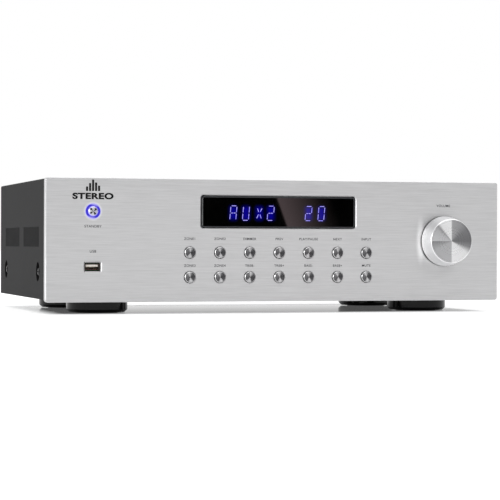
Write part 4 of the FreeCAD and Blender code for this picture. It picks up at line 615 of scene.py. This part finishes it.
def textMesh(words, capHeight, centre, stretch=1.0, weight=0.012, fromBehind=False):
    # flat lettering centred on a point, facing the front or the rear
    curve = bpy.data.curves.new("lettering", "FONT")
    curve.body = words
    curve.align_x = "CENTER"
    curve.align_y = "CENTER"
    curve.size = capHeight / 0.7
    curve.offset = weight * curve.size
    curve.space_character = 1.08
    carrier = bpy.data.objects.new("lettering", curve)
    bpy.context.scene.collection.objects.link(carrier)
    bpy.context.view_layer.update()
    mesh = bpy.data.meshes.new_from_object(carrier.evaluated_get(
        bpy.context.evaluated_depsgraph_get()))
    bpy.data.objects.remove(carrier)
    bpy.data.curves.remove(curve)
    turn = Matrix.Rotation(math.radians(90), 4, "X")
    if fromBehind:
        turn = Matrix.Rotation(math.radians(180), 4, "Z") @ turn
    mesh.transform(Matrix.Translation(centre) @ turn @ Matrix.Diagonal((stretch, 1, 1, 1)))
    return mesh


def joined(name, meshes, material):
    # several meshes of printing as one thin piece
    whole = bmesh.new()
    for mesh in meshes:
        whole.from_mesh(mesh)
        bpy.data.meshes.remove(mesh)
    data = bpy.data.meshes.new(name)
    whole.to_mesh(data)
    whole.free()
    return newPiece(name, data, material)


def makeFrontPrint():
    y = frontY - labelInk["lift"]
    meshes = []
    rows = (("upper", "button_zone_1", "button_zone_2"),
            ("lower", "button_zone_3", "button_zone_4"))
    for row, first, second in rows:
        start = middle(first).x
        pitch = middle(second).x - start
        for number, words in enumerate(frontLabels[row]):
            spot = (start + number * pitch, y, panelZ + frontLabels[row + "Height"])
            meshes.append(textMesh(words, labelInk["capHeight"], spot, labelInk["stretch"]))
    for words, x, height in (("STANDBY", middle("standby_button").x, 67.3 * mm),
                             ("USB", middle("usb_socket_shell").x, 45.1 * mm),
                             ("VOLUME", middle("volume_knob").x - 1 * mm, 88.1 * mm)):
        meshes.append(textMesh(words, labelInk["capHeight"] * 1.05, (x, y, panelZ + height),
                               labelInk["stretch"]))
    joined("front_labels", meshes, printedInk("screenPrintedGreyInk", labelInk["colour"]))
    print("front printing made")


emblem = {"height": 93.9 * mm, "capHeight": 5.0 * mm, "weight": 0.05, "ink": "#0a0a0b",
          "bars": (4.0, 7.0, 10.2, 7.6, 4.8), "barWidth": 1.9 * mm, "barPitch": 2.7 * mm,
          "barLow": 98.6 * mm}


def makeEmblem():
    # five level bars over the word STEREO, printed in black
    y = frontY - labelInk["lift"]
    x = middle("standby_button").x
    word = textMesh("STEREO", emblem["capHeight"], (x, y, panelZ + emblem["height"]), 1.4,
                    emblem["weight"])
    bars = bmesh.new()
    for number, tall in enumerate(emblem["bars"]):
        left = x + (number - 2) * emblem["barPitch"] - emblem["barWidth"] / 2
        low = panelZ + emblem["barLow"]
        corners = [(left, low), (left + emblem["barWidth"], low),
                   (left + emblem["barWidth"], low + tall * mm), (left, low + tall * mm)]
        bars.faces.new([bars.verts.new((px, y, pz)) for px, pz in corners])
    mesh = bpy.data.meshes.new("bars")
    bars.to_mesh(mesh)
    bars.free()
    joined("front_emblem", [word, mesh], printedInk("screenPrintedBlackInk", emblem["ink"]))
    print("emblem made")


def makeRearPrint():
    y = rearY + labelInk["lift"]
    meshes = []
    low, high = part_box("speaker_sockets_red")
    pitch = (high.x - low.x - 15.2 * mm) / 7
    for number in range(4):
        x = high.x - 7.6 * mm - (2 * number + 0.5) * pitch
        meshes.append(textMesh("ZONE %d" % (number + 1), 2.4 * mm, (x, y, high.z + 4 * mm),
                               1.1, labelInk["weight"], True))
    labels = (("SPEAKERS", middle("speaker_sockets_red").x, high.z + 10 * mm, 2.8),
              ("LINE IN", middle("rca_shells").x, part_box("rca_shells")[1].z + 5 * mm, 2.4),
              ("ANTENNA", middle("antenna_socket").x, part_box("antenna_socket")[1].z + 4 * mm, 2.4),
              ("POWER", middle("power_rocker").x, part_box("power_switch_housing")[1].z + 4 * mm, 2.4),
              ("AC IN", middle("mains_inlet").x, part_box("mains_inlet")[1].z + 4 * mm, 2.4))
    for words, x, z, size in labels:
        meshes.append(textMesh(words, size * mm, (x, y, z), 1.1, labelInk["weight"], True))
    joined("rear_labels", meshes, printedInk("screenPrintedWhiteInk", "#c9c9c6"))
    print("rear printing made")


usbDetail = {"count": 4, "pitch": 2.3 * mm, "width": 1.0 * mm, "thick": 0.12 * mm,
             "springWidth": 3.0 * mm, "springLong": 6.5 * mm, "springRise": 0.9 * mm}


def slabMesh(name, low, high):
    mesh = bmesh.new()
    bmesh.ops.create_cube(mesh, size=1.0)
    middleSpot = [(a + b) / 2 for a, b in zip(low, high)]
    bmesh.ops.transform(mesh, verts=mesh.verts, matrix=Matrix.Translation(middleSpot)
                        @ Matrix.Diagonal([b - a for a, b in zip(low, high)] + [1]))
    bmesh.ops.bevel(mesh, geom=mesh.edges[:], offset=min(b - a for a, b in zip(low, high)) * 0.2,
                    segments=2, affect="EDGES")
    data = bpy.data.meshes.new(name)
    mesh.to_mesh(data)
    mesh.free()
    return data


def makeUsbContacts():
    # gold leaves under the tongue, and bowed steel springs on the floor of the shell
    low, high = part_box("usb_socket_tongue")
    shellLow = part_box("usb_socket_shell")[0]
    gold = platedMetal(platings["gold"])
    x0 = (low.x + high.x) / 2
    meshes = []
    for number in range(usbDetail["count"]):
        x = x0 + (number - 1.5) * usbDetail["pitch"]
        half = usbDetail["width"] / 2
        meshes.append(slabMesh("leaf", (x - half, low.y + 0.6 * mm, low.z - usbDetail["thick"]),
                               (x + half, high.y, low.z)))
    joined("usb_contacts", meshes, gold)
    springs = []
    for side in (-1, 1):
        x = x0 + side * 3.1 * mm
        strip = bmesh.new()
        rows = []
        for step in range(9):
            share = step / 8
            y = shellLow.y + 1.2 * mm + share * usbDetail["springLong"]
            z = shellLow.z + 0.45 * mm + usbDetail["springRise"] * math.sin(math.pi * share)
            half = usbDetail["springWidth"] / 2
            rows.append([strip.verts.new((x - half, y, z)), strip.verts.new((x + half, y, z))])
        for a, b in zip(rows, rows[1:]):
            strip.faces.new((a[0], a[1], b[1], b[0]))
        data = bpy.data.meshes.new("spring")
        strip.to_mesh(data)
        strip.free()
        springs.append(data)
    piece = joined("usb_springs", springs, platedMetal(platings["bronze"]))
    thick = piece.modifiers.new("sheet", "SOLIDIFY")
    thick.thickness = 0.15 * mm
    thick.offset = 1.0
    print("USB contacts made")


def dressNodes():
    dress(brushedAnodisedAluminium(), "front_panel")
    dress(turnedAluminium("turnedKnobAluminium", "volume_knob", knobFinish), "volume_knob")
    random.seed(4)
    for name in sorted(nodes):
        if name.startswith("button_") and name != "button_guide_frame":
            spec = dict(buttonFinish, phase=random.uniform(-1, 1) * buttonFinish["turned"])
            dress(turnedAluminium("turnedButtonAluminium_" + name, name, spec), name)
    dress(turnedAluminium("turnedStandbyAluminium", "standby_button",
                          dict(standbyFinish, phase=0.03)), "standby_button")
    dress(litDiffuser(), "standby_light_ring")
    dress(powderCoatedSteel(), "top_cover", "rear_panel")
    dress(galvanisedSteel(), "base_pan", "front_chassis", "transformer_bracket")
    metals = {
        "nickel": ("encoder_nut", "board_standoffs", "speaker_socket_contacts", "rca_shells",
                   "antenna_socket", "mains_inlet_pins"),
        "tin": ("usb_socket_shell",),
        "zinc": ("chassis_screws", "encoder_shaft", "volume_encoder"),
        "blackZinc": ("cover_side_screws", "cover_rear_screws"),
        "sink": ("heat_sink",), "lamination": ("transformer_core",),
    }
    for key, names in metals.items():
        dress(platedMetal(platings[key]), *names)
    moulded = {
        "foot": ("feet",), "rubber": ("foot_pads",), "rocker": ("power_rocker",),
        "nylon": ("mains_inlet", "power_switch_housing", "button_guide_frame", "knob_insert"),
        "red": ("speaker_sockets_red",), "black": ("speaker_sockets_black",),
        "tongue": ("usb_socket_tongue",), "epoxy": ("amplifier_chips", "display_module"),
        "sleeve": ("filter_capacitors",), "tape": ("transformer_winding",),
        "switch": ("tact_switches",),
    }
    for key, names in moulded.items():
        dress(mouldedPlastic(plastics[key]), *names)
    dress(insulatorPlastic(), "rca_insulators")
    dress(epoxyGlassBoard(), "control_board", "power_board", "amplifier_board", "input_board")
    dress(ribbonPvc(), "ribbon_cable")
    print("finishes on", len(nodes), "nodes")


studio = {"floorHalf": 14.0, "floorDark": "#d6d6d6", "floorLight": "#dadada",
          "floorGlow": 0.46, "floorShine": 0.85, "floorPolish": 0.03,
          "shineFrom": (12 * mm, 34 * mm),    # how far behind the front panel the gloss starts
          # from shineNear to shineFar: painted shade, the gloss darker near the front of the case
          "shineWide": (0.192, 0.21), "shineNear": 0.42, "shineFar": 0.85,
          "sky": {"camera": 1.0, "horizon": 0.1, "above": 0.85, "behind": 1.0},
          "sunAngle": 70, "sunStrength": 1.2}
softboxes = (   # name, place, width and height, watts
    ("topSoftbox", (0.75, -2.0, 1.5), (1.2, 0.9), 5.5),
    ("keySoftbox", (-1.07, -1.65, 0.42), (0.8, 0.84), 5),
    ("leftStrip", (-1.85, -0.66, 0.5), (0.3, 1.0), 8),
)
# A black flag with one bright slanted part, mirrored in the gloss of the display lens.
flag = {"y": -1.6256, "x": (0.27, 0.68), "z": (0.02, 0.21), "edge": 0.4686, "edgeZ": 0.1188,
        "lean": -0.379, "fade": 0.10, "colour": "#ffe2e6", "strength": 1.6}


def makeFloor():
    half = studio["floorHalf"]
    mesh = bpy.data.meshes.new("studio_floor")
    mesh.from_pydata([(-half, -half, 0), (half, -half, 0), (half, half, 0), (-half, half, 0)], [],
                     [(0, 1, 2, 3)])
    floor = bpy.data.objects.new("studio_floor", mesh)
    bpy.context.scene.collection.objects.link(floor)
    # Opal acrylic table lit from below: matt white, so shadows on it stay pale
    material, tree, shader = newMaterial("opalAcrylicTable", Roughness=0.9)
    shader.inputs["Specular IOR Level"].default_value = 0.1
    tree.links.new(ramp(tree, grain(tree, [0.02] * 3), [(0.3, linear(studio["floorDark"])),
                                                        (0.7, linear(studio["floorLight"]))]),
                   shader.inputs["Base Color"])
    shader.inputs["Emission Color"].default_value = (1, 1, 1, 1)
    shader.inputs["Emission Strength"].default_value = studio["floorGlow"]
    # a glossy sheet lies under the case only, so the table in front stays white
    parts = addNode(tree, "SeparateXYZ", links={0: addNode(tree, "TexCoord").outputs["Object"]})
    start, full = (frontY + reach for reach in studio["shineFrom"])
    share = addNode(tree, "MapRange", {"From Min": start, "From Max": full},
                    {"Value": parts.outputs[1]})
    across = addNode(tree, "Math", links={0: parts.outputs[0]}, operation="ABSOLUTE")
    inside, outside = studio["shineWide"]
    sides = addNode(tree, "MapRange", {"From Min": inside, "From Max": outside,
                                       "To Min": studio["floorShine"], "To Max": 0.0},
                    {"Value": across.outputs[0]})
    behind = addNode(tree, "MapRange", {"From Min": rearY - 50 * mm, "From Max": rearY - 20 * mm,
                                        "To Min": 1.0, "To Max": 0.0}, {"Value": parts.outputs[1]})
    limits = addNode(tree, "Math", links={0: share.outputs[0], 1: sides.outputs[0]},
                     operation="MULTIPLY")
    amount = addNode(tree, "Math", links={0: limits.outputs[0], 1: behind.outputs[0]},
                     operation="MULTIPLY")
    # painted shade: the gloss is darker near the front of the case and paler towards the rear
    level = addNode(tree, "MapRange", {"From Min": full, "From Max": rearY,
                                       "To Min": studio["shineNear"],
                                       "To Max": studio["shineFar"]}, {"Value": parts.outputs[1]})
    polish = addNode(tree, "BsdfGlossy", {"Roughness": studio["floorPolish"]},
                     {"Color": level.outputs[0]})
    both = addNode(tree, "MixShader", links={0: amount.outputs[0], 1: shader.outputs[0],
                                             2: polish.outputs[0]})
    tree.links.new(both.outputs[0], tree.nodes["Material Output"].inputs[0])
    mesh.materials.append(material)


def makeFlag():
    mesh = bpy.data.meshes.new("studio_flag")
    (left, right), (low, high) = flag["x"], flag["z"]
    mesh.from_pydata([(left, flag["y"], low), (right, flag["y"], low), (right, flag["y"], high),
                      (left, flag["y"], high)], [], [(0, 1, 2, 3)])
    card = bpy.data.objects.new("studio_flag", mesh)
    bpy.context.scene.collection.objects.link(card)
    card.visible_camera = False
    card.visible_diffuse = False
    card.visible_shadow = False
    # Black card with a bright slanted strip that fades to one side
    material, tree, shader = newMaterial("halfLitCard", Roughness=1.0)
    shader.inputs["Base Color"].default_value = (0, 0, 0, 1)
    shader.inputs["Specular IOR Level"].default_value = 0.0
    parts = addNode(tree, "SeparateXYZ", links={0: addNode(tree, "TexCoord").outputs["Object"]})
    rise = addNode(tree, "Math", {1: -flag["lean"], 2: flag["edgeZ"] * flag["lean"]
                                  - flag["edge"]}, {0: parts.outputs[2]},
                   operation="MULTIPLY_ADD")
    along = addNode(tree, "Math", links={0: parts.outputs[0], 1: rise.outputs[0]},
                    operation="ADD").outputs[0]
    share = addNode(tree, "MapRange", {"From Min": 0.0, "From Max": flag["fade"]},
                    {"Value": along})
    level = ramp(tree, share.outputs[0], [(0.0, (0, 0, 0, 1)), (0.004, (1, 1, 1, 1)),
                                          (0.35, (0.55, 0.55, 0.55, 1)),
                                          (0.75, (0.1, 0.1, 0.1, 1)), (1.0, (0, 0, 0, 1))])
    strength = addNode(tree, "Math", {1: flag["strength"]}, {0: level}, operation="MULTIPLY")
    shader.inputs["Emission Color"].default_value = linear(flag["colour"])
    tree.links.new(strength.outputs[0], shader.inputs["Emission Strength"])
    mesh.materials.append(material)


def makeLights():
    world = bpy.data.worlds.new("softStudio")
    bpy.context.scene.world = world
    world.use_nodes = True
    tree = world.node_tree
    sky = tree.nodes["Background"]
    sky.inputs[0].default_value = (1, 1, 1, 1)
    # a room dark at eye level in front, with a white ceiling and a white wall behind
    levels = studio["sky"]
    heading = addNode(tree, "SeparateXYZ",
                      links={0: addNode(tree, "TexCoord").outputs["Generated"]})
    ceiling = addNode(tree, "MapRange", {"From Min": 0.04, "From Max": 0.4,
                                         "To Min": levels["horizon"], "To Max": levels["above"]},
                      {"Value": heading.outputs[2]}, interpolation_type="SMOOTHSTEP")
    rear = addNode(tree, "MapRange", {"From Min": 0.1, "From Max": 0.4},
                   {"Value": heading.outputs[1]}, interpolation_type="SMOOTHSTEP")
    room = addNode(tree, "Mix", {3: levels["behind"]}, {0: rear.outputs[0], 2: ceiling.outputs[0]},
                   data_type="FLOAT")
    seen = addNode(tree, "LightPath").outputs["Is Camera Ray"]
    level = addNode(tree, "Mix", {3: levels["camera"]}, {0: seen, 2: room.outputs[0]},
                    data_type="FLOAT")
    tree.links.new(level.outputs[0], sky.inputs[1])
    sun = bpy.data.lights.new("overheadSun", "SUN")
    sun.energy = studio["sunStrength"]
    sun.angle = math.radians(studio["sunAngle"])
    lamp = bpy.data.objects.new("overheadSun", sun)
    lamp.rotation_euler = (math.radians(-8), math.radians(6), 0)
    bpy.context.scene.collection.objects.link(lamp)
    for name, spot, size, power in softboxes:
        light = bpy.data.lights.new(name, "AREA")
        light.shape = "RECTANGLE"
        light.size, light.size_y = size
        light.energy = power
        lamp = bpy.data.objects.new(name, light)
        lamp.location = spot
        aim = Vector((0, frontY, 0.06)) - Vector(spot)
        lamp.rotation_euler = aim.to_track_quat("-Z", "Y").to_euler()
        bpy.context.scene.collection.objects.link(lamp)
    bpy.context.scene.view_settings.view_transform = "Standard"
    print("studio made")


cameraPlace = {"x": -0.5085, "back": 1.6447, "up": 0.0522, "yaw": 16.293, "pitch": -0.185,
               "roll": 0.162, "lens": 136.09}


def makeCamera():
    data = bpy.data.cameras.new("camera")
    data.lens = cameraPlace["lens"]
    data.sensor_width = 36
    data.clip_start = 0.01
    yaw, pitch, roll = (math.radians(cameraPlace[key]) for key in ("yaw", "pitch", "roll"))
    ahead = Vector((math.sin(yaw) * math.cos(pitch), math.cos(yaw) * math.cos(pitch),
                    math.sin(pitch)))
    level = Vector((math.cos(yaw), -math.sin(yaw), 0))
    up = level.cross(ahead)
    right = math.cos(roll) * level + math.sin(roll) * up
    up = -math.sin(roll) * level + math.cos(roll) * up
    turn = Matrix((right, up, -ahead)).transposed().to_4x4()
    spot = Vector((cameraPlace["x"], frontY - cameraPlace["back"], panelZ + cameraPlace["up"]))
    camera = bpy.data.objects.new("camera", data)
    camera.matrix_world = Matrix.Translation(spot) @ turn
    bpy.context.scene.collection.objects.link(camera)
    bpy.context.scene.camera = camera
    print("camera made")


makeCamera()
dressNodes()
makeDisplay()
makeUsbContacts()
makeFrontPrint()
makeEmblem()
makeRearPrint()
makeFloor()
makeFlag()
makeLights()
